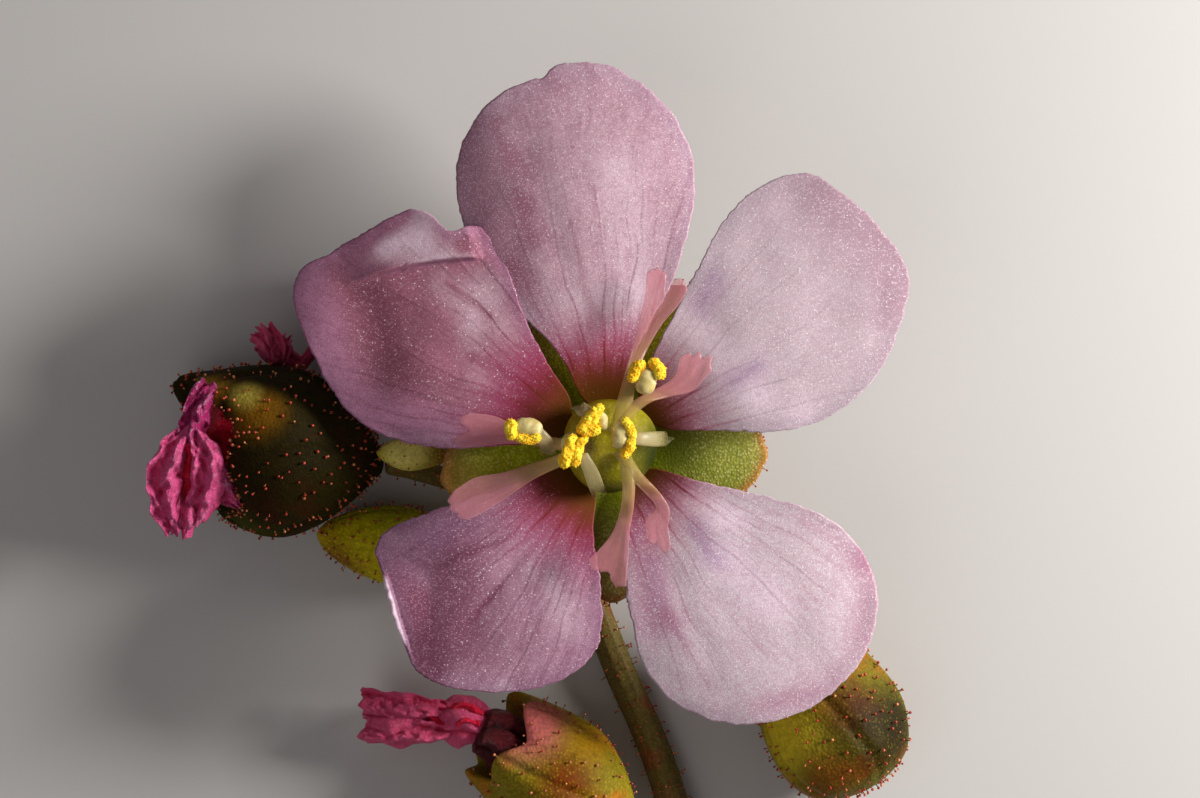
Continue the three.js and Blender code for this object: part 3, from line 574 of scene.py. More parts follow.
STYLE_STOPS = [
    (0, (0.34, 0.32, 0.03)), (0.22, (0.55, 0.43, 0.11)), (0.45, (0.6, 0.35, 0.15)),
    (0.68, (0.62, 0.25, 0.26)), (1, (0.66, 0.25, 0.3)),
]
# The dark first stop is painted shade where the foot of a filament sinks between the claws.
FILAMENT_STOPS = [
    (0, (0.06, 0.07, 0.008)), (0.42, (0.3, 0.26, 0.08)), (0.62, (0.5, 0.42, 0.18)),
    (1, (0.55, 0.46, 0.24)),
]
STYLE_FLESH = flesh_finish("style_flesh", STYLE_STOPS, opacity=0.42, gloss=0.3)
FILAMENT_FLESH = flesh_finish("filament_flesh", FILAMENT_STOPS, opacity=0.45, gloss=0.35, fade=0.75)
CONNECTIVE = bead_finish("connective", (0.68, 0.58, 0.27), (0.5, 0.4, 0.13), 0.6, 0.3)
POLLEN = bead_finish("pollen_mass", (1, 0.8, 0.04), (0.95, 0.5, 0), 0.8, 0.22)
GLAND_HEAD = bead_finish("gland_heads", (0.5, 0.05, 0.02), (0.3, 0.02, 0.008), 0.3)
# Paler copies of the red heads, put at random: painted light of heads that catch the lamp.
GLAND_HEAD_PALE = bead_finish("pale_gland_heads", (0.75, 0.27, 0.11), (0.5, 0.12, 0.04), 0.25)
GLAND_STALK = bead_finish("gland_stalks", (0.26, 0.17, 0.04), (0.2, 0.05, 0.015), 0.4)

# Each withered finish is bright for the ridges, deep for the painted shade of the folds, the colour of its
# painted sheen, and how far the sheen spreads.
WITHERED = {
    "withered_magenta": ((0.5, 0.022, 0.16), (0.22, 0.002, 0.04), (0.85, 0.45, 0.68), 0.32),
    "withered_silk": ((0.98, 0.11, 0.33), (0.75, 0.01, 0.1), (1, 0.42, 0.62), 0.25),
    "withered_throat": ((1, 0.01, 0.06), (0.8, 0.004, 0.03), (1, 0.05, 0.13), 0),
    "withered_rose": ((1, 0.11, 0.27), (0.8, 0.025, 0.09), (1, 0.3, 0.45), 0.1),
    "withered_dark": ((0.1, 0.004, 0.008), (0.03, 0.001, 0.002), (0.16, 0.01, 0.02), 0),
}
COROLLA_SKINS = [withered_finish(name, *looks) for name, looks in WITHERED.items()]
print("finishes:", len(bpy.data.materials))


# %% [markdown]
# ## Shaping helpers
# Nearly every piece of a flower is a sheet. A petal is a sheet drawn out to an outline, and a
# stem, a calyx or a withered petal is a sheet rolled into a tube. So each piece starts from
# `bmesh.ops.create_grid`, and a function says where a point of the sheet goes. The two edges
# of a rolled sheet meet and are merged, and so is each end where it draws in to one point.

# %% Smooth routes
class Route:
    """A smooth curve through a few points, walked by its length from 0 to 1."""

    STEPS = 24

    def __init__(self, points, closed=False):
        self.points = [Vector((*p, 0)) if len(p) == 2 else Vector(p) for p in points]
        self.closed = closed
        spans = len(self.points) - (0 if closed else 1)
        self.dense = [self._curve(i / self.STEPS) for i in range(spans * self.STEPS + 1)]
        self.ways = [0]
        for a, b in zip(self.dense, self.dense[1:]):
            self.ways.append(self.ways[-1] + (b - a).length)
        self.length = self.ways[-1]

    def _point(self, index):
        count = len(self.points)
        if self.closed:
            return self.points[index % count]
        if index < 0:
            return 2 * self.points[0] - self.points[1]
        if index >= count:
            return 2 * self.points[-1] - self.points[-2]
        return self.points[index]

    def _curve(self, where):
        start = math.floor(where)
        t = where - start
        a, b, c, d = (self._point(start + k) for k in (-1, 0, 1, 2))
        square = (2 * a - 5 * b + 4 * c - d) * t**2
        cube = (3 * b - a - 3 * c + d) * t**3
        return 0.5 * (2 * b + (c - a) * t + square + cube)

    def at(self, share):
        way = min(max(share, 0), 1) * self.length
        high = min(max(bisect.bisect_right(self.ways, way), 1), len(self.ways) - 1)
        low = high - 1
        step = self.ways[high] - self.ways[low]
        return self.dense[low].lerp(self.dense[high], (way - self.ways[low]) / step if step else 0)

    def frame(self, share):
        """The point, the direction along, and two directions across, the second near up."""
        ahead = self.at(min(share + 0.01, 1)) - self.at(max(share - 0.01, 0))
        along = ahead.normalized()
        flat = abs(along.z) < 0.95
        sideways = (UP if flat else Vector((0, 1, 0))).cross(along).normalized()
        return self.at(share), along, sideways, along.cross(sideways)


def between(values, share):
    """A value on the smooth row of numbers."""
    where = min(max(share, 0), 1) * (len(values) - 1)
    start = min(int(where), len(values) - 2)
    t = step_up(where, start, start + 1)
    return values[start] * (1 - t) + values[start + 1] * t


def rough(*place, seed=0):
    """Smooth noise between -1 and 1 at a place."""
    return noise.noise(Vector((*place, 0, 0)[:3]) + Vector((seed, 2.3 * seed, -seed)))


def step_up(value, low, high):
    """0 below low, 1 above high, and a smooth rise between."""
    t = min(max((value - low) / (high - low), 0), 1)
    return t * t * (3 - 2 * t)


def turned(x, y, degrees):
    """A place as seen from a direction: how far along it, and how far to its left."""
    direction = math.radians(degrees)
    along = x * math.cos(direction) + y * math.sin(direction)
    return along, y * math.cos(direction) - x * math.sin(direction)


# %% Sheets and pieces
def disc_of_square(x, y):
    """Where a point of the square from -1 to 1 lands on a disc: way out and turn, 0 to 1."""
    out = max(abs(x), abs(y))
    if out == 0:
        return 0, 0
    if abs(x) >= abs(y):
        return out, (y / x / 8 + (0 if x > 0 else 0.5)) % 1
    return out, (0.25 - x / y / 8 + (0 if y > 0 else 0.5)) % 1


def disc_sheet(cells, thickness, names, shape):
    """A sheet drawn out to a disc and thickened. shape(out, turn) gives a point and a number
    for each of the mesh's named layers."""
    bm = bmesh.new()
    layers = [bm.verts.layers.float.new(name) for name in names]
    bmesh.ops.create_grid(bm, x_segments=cells, y_segments=cells, size=1)
    for vert in bm.verts:
        vert.co, numbers = shape(*disc_of_square(vert.co.x, vert.co.y))
        for layer, number in zip(layers, numbers):
            vert[layer] = number
    bmesh.ops.recalc_face_normals(bm, faces=bm.faces)
    bmesh.ops.solidify(bm, geom=bm.faces[:], thickness=thickness)
    bmesh.ops.recalc_face_normals(bm, faces=bm.faces)
    return bm


def add_part(bm, part):
    """Moves a part's faces into bm."""
    mesh = bpy.data.meshes.new("part")
    part.to_mesh(mesh)
    part.free()
    bm.from_mesh(mesh)
    bpy.data.meshes.remove(mesh)


def rolled(around, along, shape, bm=None, material=0):
    """A sheet rolled into a tube. shape(turn, share) gives a point in millimetres, and may
    add how far the point stands out, from 0 in a fold to 1 on a ridge."""
    tube = bmesh.new()
    bmesh.ops.create_grid(tube, x_segments=around, y_segments=along, size=1)
    layer = tube.loops.layers.uv.new("UVMap")
    for face in tube.faces:
        face.material_index = material
        for loop in face.loops:
            loop[layer].uv = ((loop.vert.co.x + 1) / 2, (loop.vert.co.y + 1) / 2)
    ridge = tube.verts.layers.float.new("ridge")
    for vert in tube.verts:
        made = shape((vert.co.x + 1) / 2, (vert.co.y + 1) / 2)
        vert.co, vert[ridge] = made if isinstance(made, tuple) else (made, 0)
    bmesh.ops.remove_doubles(tube, verts=tube.verts, dist=1e-4)
    bmesh.ops.recalc_face_normals(tube, faces=tube.faces)
    if bm is None:
        return tube
    add_part(bm, tube)
    return bm


def piece(bm, name, materials, nodes=()):
    """The finished piece: millimetres become metres, and it rides on the part's one body."""
    bmesh.ops.scale(bm, vec=(MM, MM, MM), verts=bm.verts)
    mesh = bpy.data.meshes.new(name)
    bm.to_mesh(mesh)
    bm.free()
    mesh.polygons.foreach_set("use_smooth", [True] * len(mesh.polygons))
    for material in materials:
        mesh.materials.append(material)
    made = bpy.data.objects.new(name, mesh)
    bpy.context.collection.objects.link(made)
    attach(made, BODY)
    if nodes:
        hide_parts(*nodes)
    triangles = sum(len(face.vertices) - 2 for face in mesh.polygons)
    print(f"{name}: {triangles} triangles")


# %% [markdown]
# ## Petals
# A petal is one thin sheet: narrow at the claw, broad and round outside, domed across its
# middle line, with a finely eaten margin. A square sheet is drawn out to a disc and the disc
# to the petal's outline, which keeps the cells even right up to the margin. The height is the
# frame's own: a shallow bowl near the axis that levels out, less a fall on each side.

# %% Petal shapes
PETAL_HEIGHT = 4.65
PETAL_RISE = 1.9
PETAL_FOOT = 1.2
PETAL_SETTLE = 2.6
PETAL_BEND = 4.5  # where a petal starts to bend down again
PETAL_SHEET = 0.14  # true thickness
PETAL_CELLS = 120
SLOPE_STEP = 0.05  # between the two heights that give a slope

# Each feature is a row of numbers. A hill is its place, reach and height. The others start
# with the two ends of a line: a fold adds its half width and depth, a step its height, half
# width, how far behind the line it has sunk back, how much the line arches, where on it the
# step starts to fade and how much light is painted behind the line. Rows of painted light and
# shade, and blotches, tint the tissue along a line by a half width and a strength; a plus
# strength paints light and a minus one paints shade. Where it is calm it has no painted
# glints. skin is the body, its veins, the outer edge, how strong the veins are and the claw's
# reach. The darker bodies of the left and lower-left petals are in part painted shade.
PETALS = {
    "petal_top": {
        "turn": 98, "centre": (-1.1, 7.67), "crown": (0.05, 0.02), "droop": 0.012, "seed": 1,
        "skin": ((0.57, 0.385, 0.465), (0.27, 0.09, 0.15), (0.43, 0.31, 0.4), 0.75, 0.7),
        "outline": [
            (-0.8, 1.45), (-1.5, 2.75), (-2.05, 3.5), (-2.85, 4.3), (-4.33, 6.1), (-5.07, 8.33),
            (-4.93, 9.9), (-4.1, 11.35), (-2.75, 12.15), (-2.25, 12.2), (-1.95, 12.55), (-1.4, 12.72),
            (0.07, 12.6), (1.67, 11.47), (2.67, 9.83), (2.73, 7.83), (2.07, 5.43), (1, 3.5), (0.33, 1.57),
        ],
        "folds": [(-3.4, 11.2, -2.2, 8.2, 0.8, -0.06), (-2.2, 8.2, -1.1, 4.6, 0.5, -0.05)],
        "painted_light_and_shade": [
            (-4.9, 10.5, -3.5, 6, 1.5, -0.55), (-3.7, 10.6, -3, 9, 0.5, -0.25),
            (-2.2, 12, -2.4, 9.6, 0.8, -0.3), (-1.4, 12, 0.8, 11.4, 0.7, -0.25),
            (-3, 8.4, -2.5, 6.9, 0.4, -0.4), (-2.6, 8.2, -1.7, 6.6, 0.26, -0.2),
            (-1.3, 7.4, -0.5, 4.2, 0.14, -0.45), (-3.2, 5.9, -2.2, 4.4, 0.5, -0.3),
            (0.6, 6.4, 0.5, 4.6, 0.12, -0.25), (0.6, 4.8, -1.3, 4.7, 0.8, 0.45), (0.2, 9, 1, 5.6, 1.1, 0.4),
        ],
    },
    "petal_upper_right": {
        "turn": 37, "centre": (5.83, 4.5), "crown": (0.02, 0.02), "droop": 0.012, "seed": 2,
        "skin": ((0.58, 0.47, 0.53), (0.37, 0.24, 0.3), (0.42, 0.35, 0.41), 0.45, 0.15),
        "outline": [
            (1, 1.57), (1.4, 2.9), (2.17, 4.43), (3, 6.03), (3.93, 7.63), (5.07, 8.63), (6.6, 9.03),
            (7.93, 8.2), (9, 7.2), (9.9, 5.77), (9.67, 4.1), (9, 2.57), (7.73, 1.2), (5.87, 0.5),
            (3.67, 0.5), (1.73, 0.6),
        ],
        "folds": [(2.2, 1.9, 6.4, 3.6, 0.3, -0.03)],
        "painted_light_and_shade": [
            (6.6, 8.6, 9.3, 5.6, 1.8, -0.6), (9.8, 6.4, 9.3, 2.8, 0.8, -0.45),
            (7.4, 8.4, 8.8, 7.2, 0.8, -0.35), (2.6, 3.8, 4.6, 2.2, 0.8, 0.6),
            (3.4, 1.6, 6.4, 1.1, 0.6, 0.4),
        ],
        "blotches": [(3.1, 4.7, 3.5, 5.5, 0.4, 0.8), (4.1, 2.1, 4.9, 2.6, 0.35, 0.8)],
    },
    "petal_lower_right": {
        "turn": -49, "centre": (4.73, -5.17), "crown": (0.015, 0.03), "droop": 0.012, "seed": 3,
        "skin": ((0.64, 0.54, 0.6), (0.39, 0.17, 0.26), (0.49, 0.41, 0.47), 0.6, 0.05),
        "outline": [
            (1.5, -0.83), (3, -1.23), (5, -1.67), (6.93, -2.27), (8.27, -3.4), (8.9, -5), (8.67, -6.5),
            (7.83, -7.83), (6.33, -8.9), (4.27, -9.3), (2.5, -8.77), (1.33, -7.67), (0.8, -6.17),
            (0.5, -4.17), (0.53, -2.5), (0.8, -1.23),
        ],
        "folds": [(1.6, -3.4, 3.6, -7.6, 0.4, -0.03)],
        "painted_light_and_shade": [
            (1, -3, 1.6, -5.8, 1, -0.7), (1.9, -5.6, 3.4, -8.2, 0.18, -0.35),
            (2.8, -9, 7.4, -8.3, 0.5, -0.3), (8.8, -4, 8.3, -6.4, 0.9, -0.5),
            (6.6, -2.4, 8.4, -3.8, 0.5, -0.35), (7.4, -7.6, 5.4, -8.6, 0.6, -0.3),
            (4, -3.8, 5.2, -5.2, 1, 0.6), (2.2, -1.7, 4, -2.4, 0.6, 0.9),
        ],
        "blotches": [(2.9, -2.8, 3.5, -3.8, 0.4, 0.9), (1.5, -4, 1.7, -5.2, 0.3, 0.35)],
    },
    "petal_lower_left": {
        "turn": -128, "centre": (-3.67, -4.5), "crown": (0.02, 0.04), "droop": 0.014, "seed": 4,
        # A darker body than the right petals', in part painted shade for a petal turned from the key lamp.
        "skin": ((0.43, 0.24, 0.33), (0.18, 0.055, 0.1), (0.25, 0.125, 0.22), 0.85, 0.75),
        "outline": [
            (-0.53, -1.5), (-0.57, -3), (-0.3, -4.83), (-0.4, -6.57), (-1.17, -7.53), (-2.67, -8.1),
            (-4.5, -8.17), (-6.07, -7.77), (-6.73, -7), (-7.23, -5.67), (-7.57, -4.33), (-7.83, -3.57),
            (-7.4, -2.87), (-6.17, -2.33), (-4.67, -1.83), (-3, -1.23), (-1.5, -0.67),
        ],
        "hills": [(-7.4, -5.2, 1.6, 0.35)],
        "folds": [(-2.6, -3, -5, -6.6, 0.4, -0.06)],
        "steps": [(-6.6, -7.3, -7.72, -3.65, 0.24, 0.12, 5, 0, 0.75, 1.3)],
        "painted_light_and_shade": [
            (-6, -7.4, -6.3, -5.4, 0.5, -0.5), (-5.2, -3.2, -5.2, -6.6, 1.7, -0.75),
            (-7, -4.6, -6.6, -5.2, 0.5, -0.3), (-7.2, -3.1, -5.8, -2.5, 0.5, 0.3),
            (-5, -7.9, -3.6, -7.9, 0.5, 0.4), (-3.4, -3.6, -2.8, -4, 0.5, 0.25),
            (-2, -4.6, -1.4, -6, 0.8, 0.35), (-2.7, -3.6, -4.6, -5.8, 0.12, -0.5),
            (-2.2, -4, -3, -6.8, 0.1, -0.4), (-3.2, -3, -5.6, -4, 0.1, -0.4),
        ],
        "blotches": [(-4.6, -2.4, -5.8, -3.2, 0.5, 0.4)],
        "calm": [(-7, -3.4, -6.6, -7, 0.9, 1.2), (-5.6, -2.6, -7, -3.2, 0.6, 1)],
    },
    "petal_left": {
        "turn": 149, "centre": (-6, 3.67), "crown": (0.02, 0.01), "droop": 0.026, "seed": 5,
        # A darker body than the right petals', in part painted shade for a petal turned from the key lamp.
        "skin": ((0.33, 0.13, 0.19), (0.14, 0.035, 0.06), (0.38, 0.18, 0.31), 0.85, 1),
        "outline": [
            (-1.3, 1.4), (-2.05, 2.67), (-2.85, 4.25), (-3.4, 5.83), (-4.2, 7.17), (-4.67, 7.3),
            (-5.33, 7.1), (-6, 7.7), (-6.83, 7.83), (-7.93, 7.27), (-9.33, 6.43), (-10.33, 5.9),
            (-10.57, 4.83), (-10, 3.23), (-9, 1.4), (-7.5, 0.3), (-5.67, -0.1), (-3.67, -0.03),
            (-1.67, 0.23),
        ],
        "hills": [
            (-6.6, 4.2, 2.6, 0.15), (-5.6, 7.6, 2.4, 0.3), (-9.8, 5.8, 3.8, 0.4), (-10.8, 3.2, 3.4, 0.7),
        ],
        "folds": [(-2.6, 1.9, -8.6, 4.2, 0.5, -0.06)],
        "steps": [(-8.6, 5.35, -4.45, 6.2, 0.4, 0.08, 1.8, 0.2, 0.97, 0.5)],
        "painted_light_and_shade": [
            (-8.3, 5.8, -7.6, 6.4, 0.4, 0.35), (-7.2, 6.7, -6.2, 6.9, 0.4, 0.2),
            (-4.9, 6.6, -4.5, 6.6, 0.3, -0.5), (-5.4, 7.1, -4.6, 7, 0.5, -0.35),
            (-8.6, 6.9, -7, 7.7, 0.4, -0.6), (-5.6, 5.3, -4.4, 4.6, 0.8, 0.3),
            (-4.2, 5.6, -3.2, 3.6, 0.6, 0.25), (-4.6, 4, -4.3, 1.9, 0.7, 0.25),
            (-8, 5.4, -7.1, 2.5, 1.15, -0.66), (-7.2, 0.3, -5.4, 0.2, 0.45, 0.2),
            (-4, 4.3, -5.4, 5.4, 0.12, -0.2), (-2.6, 2, -4.6, 2.9, 0.14, -0.5),
            (-2.8, 1.4, -5.4, 1.9, 0.1, -0.4),
        ],
        "calm": [(-10.2, 5.2, -9.2, 1.9, 1, 1.2), (-9, 1.4, -5.6, 0.5, 0.8, 1.1)],
    },
}


def line_place(here, row):
    """How far a place lies from a row's line, and how far along the line it is, 0 to 1."""
    start = Vector(row[:2])
    line = Vector(row[2:4]) - start
    share = min(max((here - start).dot(line) / line.length_squared, 0), 1)
    return (here - start - line * share).length, share


def behind_step(here, row):
    """How far a place lies behind a step's arched line, and how much of the step is there."""
    arch, fall = row[7:9]
    start = Vector(row[:2])
    line = Vector(row[2:4]) - start
    offset = here - start
    along = offset.dot(line) / line.length_squared
    behind = line.cross(offset) / line.length - arch * max(0, 1 - (2 * along - 1) ** 2)
    return behind, step_up(along, -0.1, 0.4 * fall) * (1 - step_up(along, fall, fall + 0.1))


def petal_height(petal, x, y, out):
    distance = math.hypot(x, y)
    rise = 1 - math.exp(-max(0, distance - PETAL_FOOT) / PETAL_SETTLE)
    _, across = turned(x, y, petal["turn"])
    left, right = petal["crown"]
    height = PETAL_HEIGHT + PETAL_RISE * rise - (left if across > 0 else right) * across**2
    height -= petal["droop"] * max(0, distance - PETAL_BEND) ** 2
    for at_x, at_y, reach, tall in petal.get("hills", ()):
        share = math.hypot(x - at_x, y - at_y) / reach
        height += tall * max(0, 1 - share * share) ** 2
    here = Vector((x, y))
    for row in petal["folds"]:
        away, along = line_place(here, row)
        width, depth = row[4:]
        height += depth * math.exp(-((away / width) ** 2)) * math.sin(math.pi * (0.1 + 0.8 * along))
    for row in petal.get("steps", ()):
        tall, width, reach = row[4:7]
        behind, window = behind_step(here, row)
        height += tall * step_up(behind, -width, width) * math.exp(-max(0, behind) / reach) * window
    seed = petal["seed"]
    wave = rough(x * 0.35, y * 0.35, seed=seed) * 0.09 + rough(x * 0.9, y * 0.9, seed=seed) * 0.025
    curl = rough(x * 0.55, y * 0.55, seed=seed + 9) * 0.08 * step_up(out, 0.8, 1) ** 2
    return height + (wave + curl) * step_up(distance, 2, 5)


def tint_at(petal, kind, here):
    total = 0
    wander = 1 + 0.4 * rough(here.x * 1.1, here.y * 1.1, seed=petal["seed"] + 20)
    for row in petal.get(kind, ()):
        width, strength = row[4:]
        total += strength * math.exp(-((line_place(here, row)[0] / (width * wander)) ** 2))
    return total


def petal_sheet(petal):
    rim = Route(petal["outline"], closed=True)
    centre = Vector((*petal["centre"], 0))
    seed = petal["seed"]
    to_key = Vector(KEY_PLACE).normalized()

    def point(out, turn):
        edge = rim.at(turn)
        around = 2 * math.pi * turn
        ring = Vector((math.cos(around), math.sin(around)))
        bite = 0.05 * rough(*(ring * 6), seed=seed) + 0.035 * rough(*(ring * 15), seed=seed)
        bite += 0.03 * rough(*(ring * 34), seed=seed)
        bite *= step_up(edge.length, 2, 4) * step_up(out, 0.8, 1)
        outwards = (edge - centre).normalized()
        x, y, _ = centre.lerp(edge, out) + outwards * bite
        height = petal_height(petal, x, y, out)
        slope_x = (petal_height(petal, x + SLOPE_STEP, y, out) - height) / SLOPE_STEP
        slope_y = (petal_height(petal, x, y + SLOPE_STEP, out) - height) / SLOPE_STEP
        # How far the surface faces the key lamp; the finish paints shade and glints from it.
        lit = max(0, Vector((-slope_x, -slope_y, 1)).normalized().dot(to_key))
        here = Vector((x, y))
        # Painted light and shade: the listed lines, and the pale band painted behind each step.
        tone = tint_at(petal, "painted_light_and_shade", here)
        for row in petal.get("steps", ()):
            behind, window = behind_step(here, row)
            tone += row[-1] * step_up(behind, -0.03, 0.1) * window
        calm = min(1, tint_at(petal, "calm", here))
        return (x, y, height), (tone, out, lit, tint_at(petal, "blotches", here), calm)

    bm = disc_sheet(PETAL_CELLS, PETAL_SHEET, PETAL_LAYERS, point)
    map_fan(bm, petal["turn"])
    return bm


def map_fan(bm, turn):
    """A map whose first number is the angle about the claw, and whose second the way out."""
    layer = bm.loops.layers.uv.new("UVMap")
    for face in bm.faces:
        for loop in face.loops:
            x, y, _ = loop.vert.co
            along, across = turned(x, y, turn)
            angle = math.atan2(across, max(along - FAN_ORIGIN, 0.01))
            loop[layer].uv = (0.5 + angle / FAN_SPREAD, math.hypot(x, y) / MAP_LENGTH)


# %% Petals
for node, petal in PETALS.items():
    skin = petal_finish(f"{node}_skin", *petal["skin"])
    piece(petal_sheet(petal), f"{node}_sheet", [skin], [node])


# %% [markdown]
# ## Sepals of the open flower
# Five fleshy green sepals show in the gaps between the petals. They are sheets like the
# petals, thicker, with a margin set with tiny red-headed glands.

# %% Glands
GLAND_MATERIALS = [GLAND_STALK, GLAND_HEAD, GLAND_HEAD_PALE]


def add_gland(bm, foot, outwards, length, head, head_material):
    """One stalked gland: a thin tapered stalk and a bead on its end."""
    lean = UP.rotation_difference(outwards).to_matrix().to_4x4()
    middle = Matrix.Translation(foot + outwards * (length / 2)) @ lean
    end = Matrix.Translation(foot + outwards * length)
    taper = {"radius1": 0.5 * head, "radius2": 0.3 * head, "depth": length}
    bmesh.ops.create_cone(bm, cap_ends=True, segments=4, matrix=middle, **taper)
    bead = bmesh.ops.create_icosphere(bm, subdivisions=1, radius=head, matrix=end)
    for vert in bead["verts"]:
        for face in vert.link_faces:
            face.material_index = head_material


# %% Sepals
SEPAL_HEIGHT = 3.8
SEPAL_SLOPE = 0.2
SEPAL_HALF_WIDTH = 1.5
SEPAL_SHEET = 0.4
SEPAL_CELLS = 40
SEPAL_GLANDS = 54  # places round the margin
SEPAL_GLAND_HEAD = 0.042
SEPAL_HALF_OUTLINE = [(0.2, 0.45), (0.32, 0.78), (0.56, 1), (0.8, 0.92), (0.93, 0.55), (0.975, 0.22)]
SEPALS = [(-4, 5.3), (-89, 5.3), (192, 5.8), (122, 5.3), (64, 5.9)]


def sepal_outline(turn, length):
    half = [(along * length, across * SEPAL_HALF_WIDTH) for along, across in SEPAL_HALF_OUTLINE]
    other = [(along, -across) for along, across in reversed(half)]
    return [turned(*place, -turn) for place in [*half, (length, 0), *other]]


def sepal_height(x, y, turn, out):
    _, across = turned(x, y, turn)
    dome = 0.14 * (1 - (across / SEPAL_HALF_WIDTH) ** 2)
    return SEPAL_HEIGHT + SEPAL_SLOPE * max(0, math.hypot(x, y) - 1) + dome - 0.12 * out**6


def sepal_sheet(rim, centre, turn, length):
    def point(out, where):
        flat = centre.lerp(rim.at(where), out)
        height = sepal_height(flat.x, flat.y, turn, out)
        return (flat.x, flat.y, height), (out, flat.length / length)

    return disc_sheet(SEPAL_CELLS, SEPAL_SHEET, ("rim", "out"), point)


calyx = bmesh.new()
funnel = {"radius1": 0.9, "radius2": 1.5, "depth": 0.7}
at_foot = Matrix.Translation((0, 0, 3.75))
bmesh.ops.create_cone(calyx, segments=48, cap_ends=True, matrix=at_foot, **funnel)
hairs = bmesh.new()
gland_draw = random.Random(11)
for turn, length in SEPALS:
    rim = Route(sepal_outline(turn, length), closed=True)
    centre = Vector((*turned(0.55 * length, 0, -turn), 0))
    add_part(calyx, sepal_sheet(rim, centre, turn, length))
    for i in range(SEPAL_GLANDS):
        edge = rim.at((i + gland_draw.uniform(-0.4, 0.4)) / SEPAL_GLANDS)
        if edge.length < 0.45 * length or gland_draw.random() < 0.3:
            continue
        foot = Vector((edge.x, edge.y, sepal_height(edge.x, edge.y, turn, 1)))
        spread = Vector((gland_draw.uniform(-0.4, 0.4), gland_draw.uniform(-0.4, 0.4), 0.25))
        outwards = ((edge - centre).normalized() + spread).normalized()
        tall = gland_draw.uniform(0.06, 0.24)
        add_gland(hairs, foot, outwards, tall, SEPAL_GLAND_HEAD, gland_draw.choice((1, 1, 2)))
piece(calyx, "sepals", [SEPAL_SKIN], ["bloom_calyx"])
piece(hairs, "sepal_glands", GLAND_MATERIALS)


# %% [markdown]
# ## Ovary
# The ovary is a glossy green globe, faintly three-lobed, under the styles.

# %% Ovary
OVARY_RADIUS = 1.57
OVARY_FOOT = 4.25
OVARY_TOP = 7.12
OVARY_CELLS = (64, 40)
OVARY_PROFILE = Route(
    [
        (0, 0), (0.35, 0), (0.62, 0.12), (0.78, 0.26), (0.94, 0.42), (1, 0.58), (0.93, 0.76),
        (0.7, 0.9), (0.35, 0.98), (0, 1),
    ]
)


def ovary_point(turn, share):
    radius, height, _ = OVARY_PROFILE.at(share)
    angle = 2 * math.pi * turn
    lobed = OVARY_RADIUS * max(radius, 0) * (1 + 0.03 * math.cos(3 * angle - 1))
    if share in (0, 1):
        lobed = 0
    level = OVARY_FOOT + (OVARY_TOP - OVARY_FOOT) * height
    return Vector((lobed * math.cos(angle), lobed * math.sin(angle), level))


piece(rolled(*OVARY_CELLS, ovary_point), "ovary_globe", [OVARY_SKIN], ["ovary"])


# %% [markdown]
# ## Styles
# Each of the three styles forks into two arms. An arm starts as a narrow ribbon and widens
# into a thin, see-through fan with a lobed end. It is drawn by its two side edges, and a rolled
# sheet is stretched between them: its thickness falls towards the fan, and its end reaches
# further where a lobe stands out.

# %% Styles
STYLE_HEIGHT = 7.45
FAN_HEIGHT = 7.1
ARM_HEIGHTS = [STYLE_HEIGHT - 0.2, STYLE_HEIGHT, STYLE_HEIGHT, FAN_HEIGHT + 0.1, FAN_HEIGHT, FAN_HEIGHT]
ARM_THICKNESS = 0.15
FAN_SHEET = 0.05
ARM_CELLS = (48, 80)

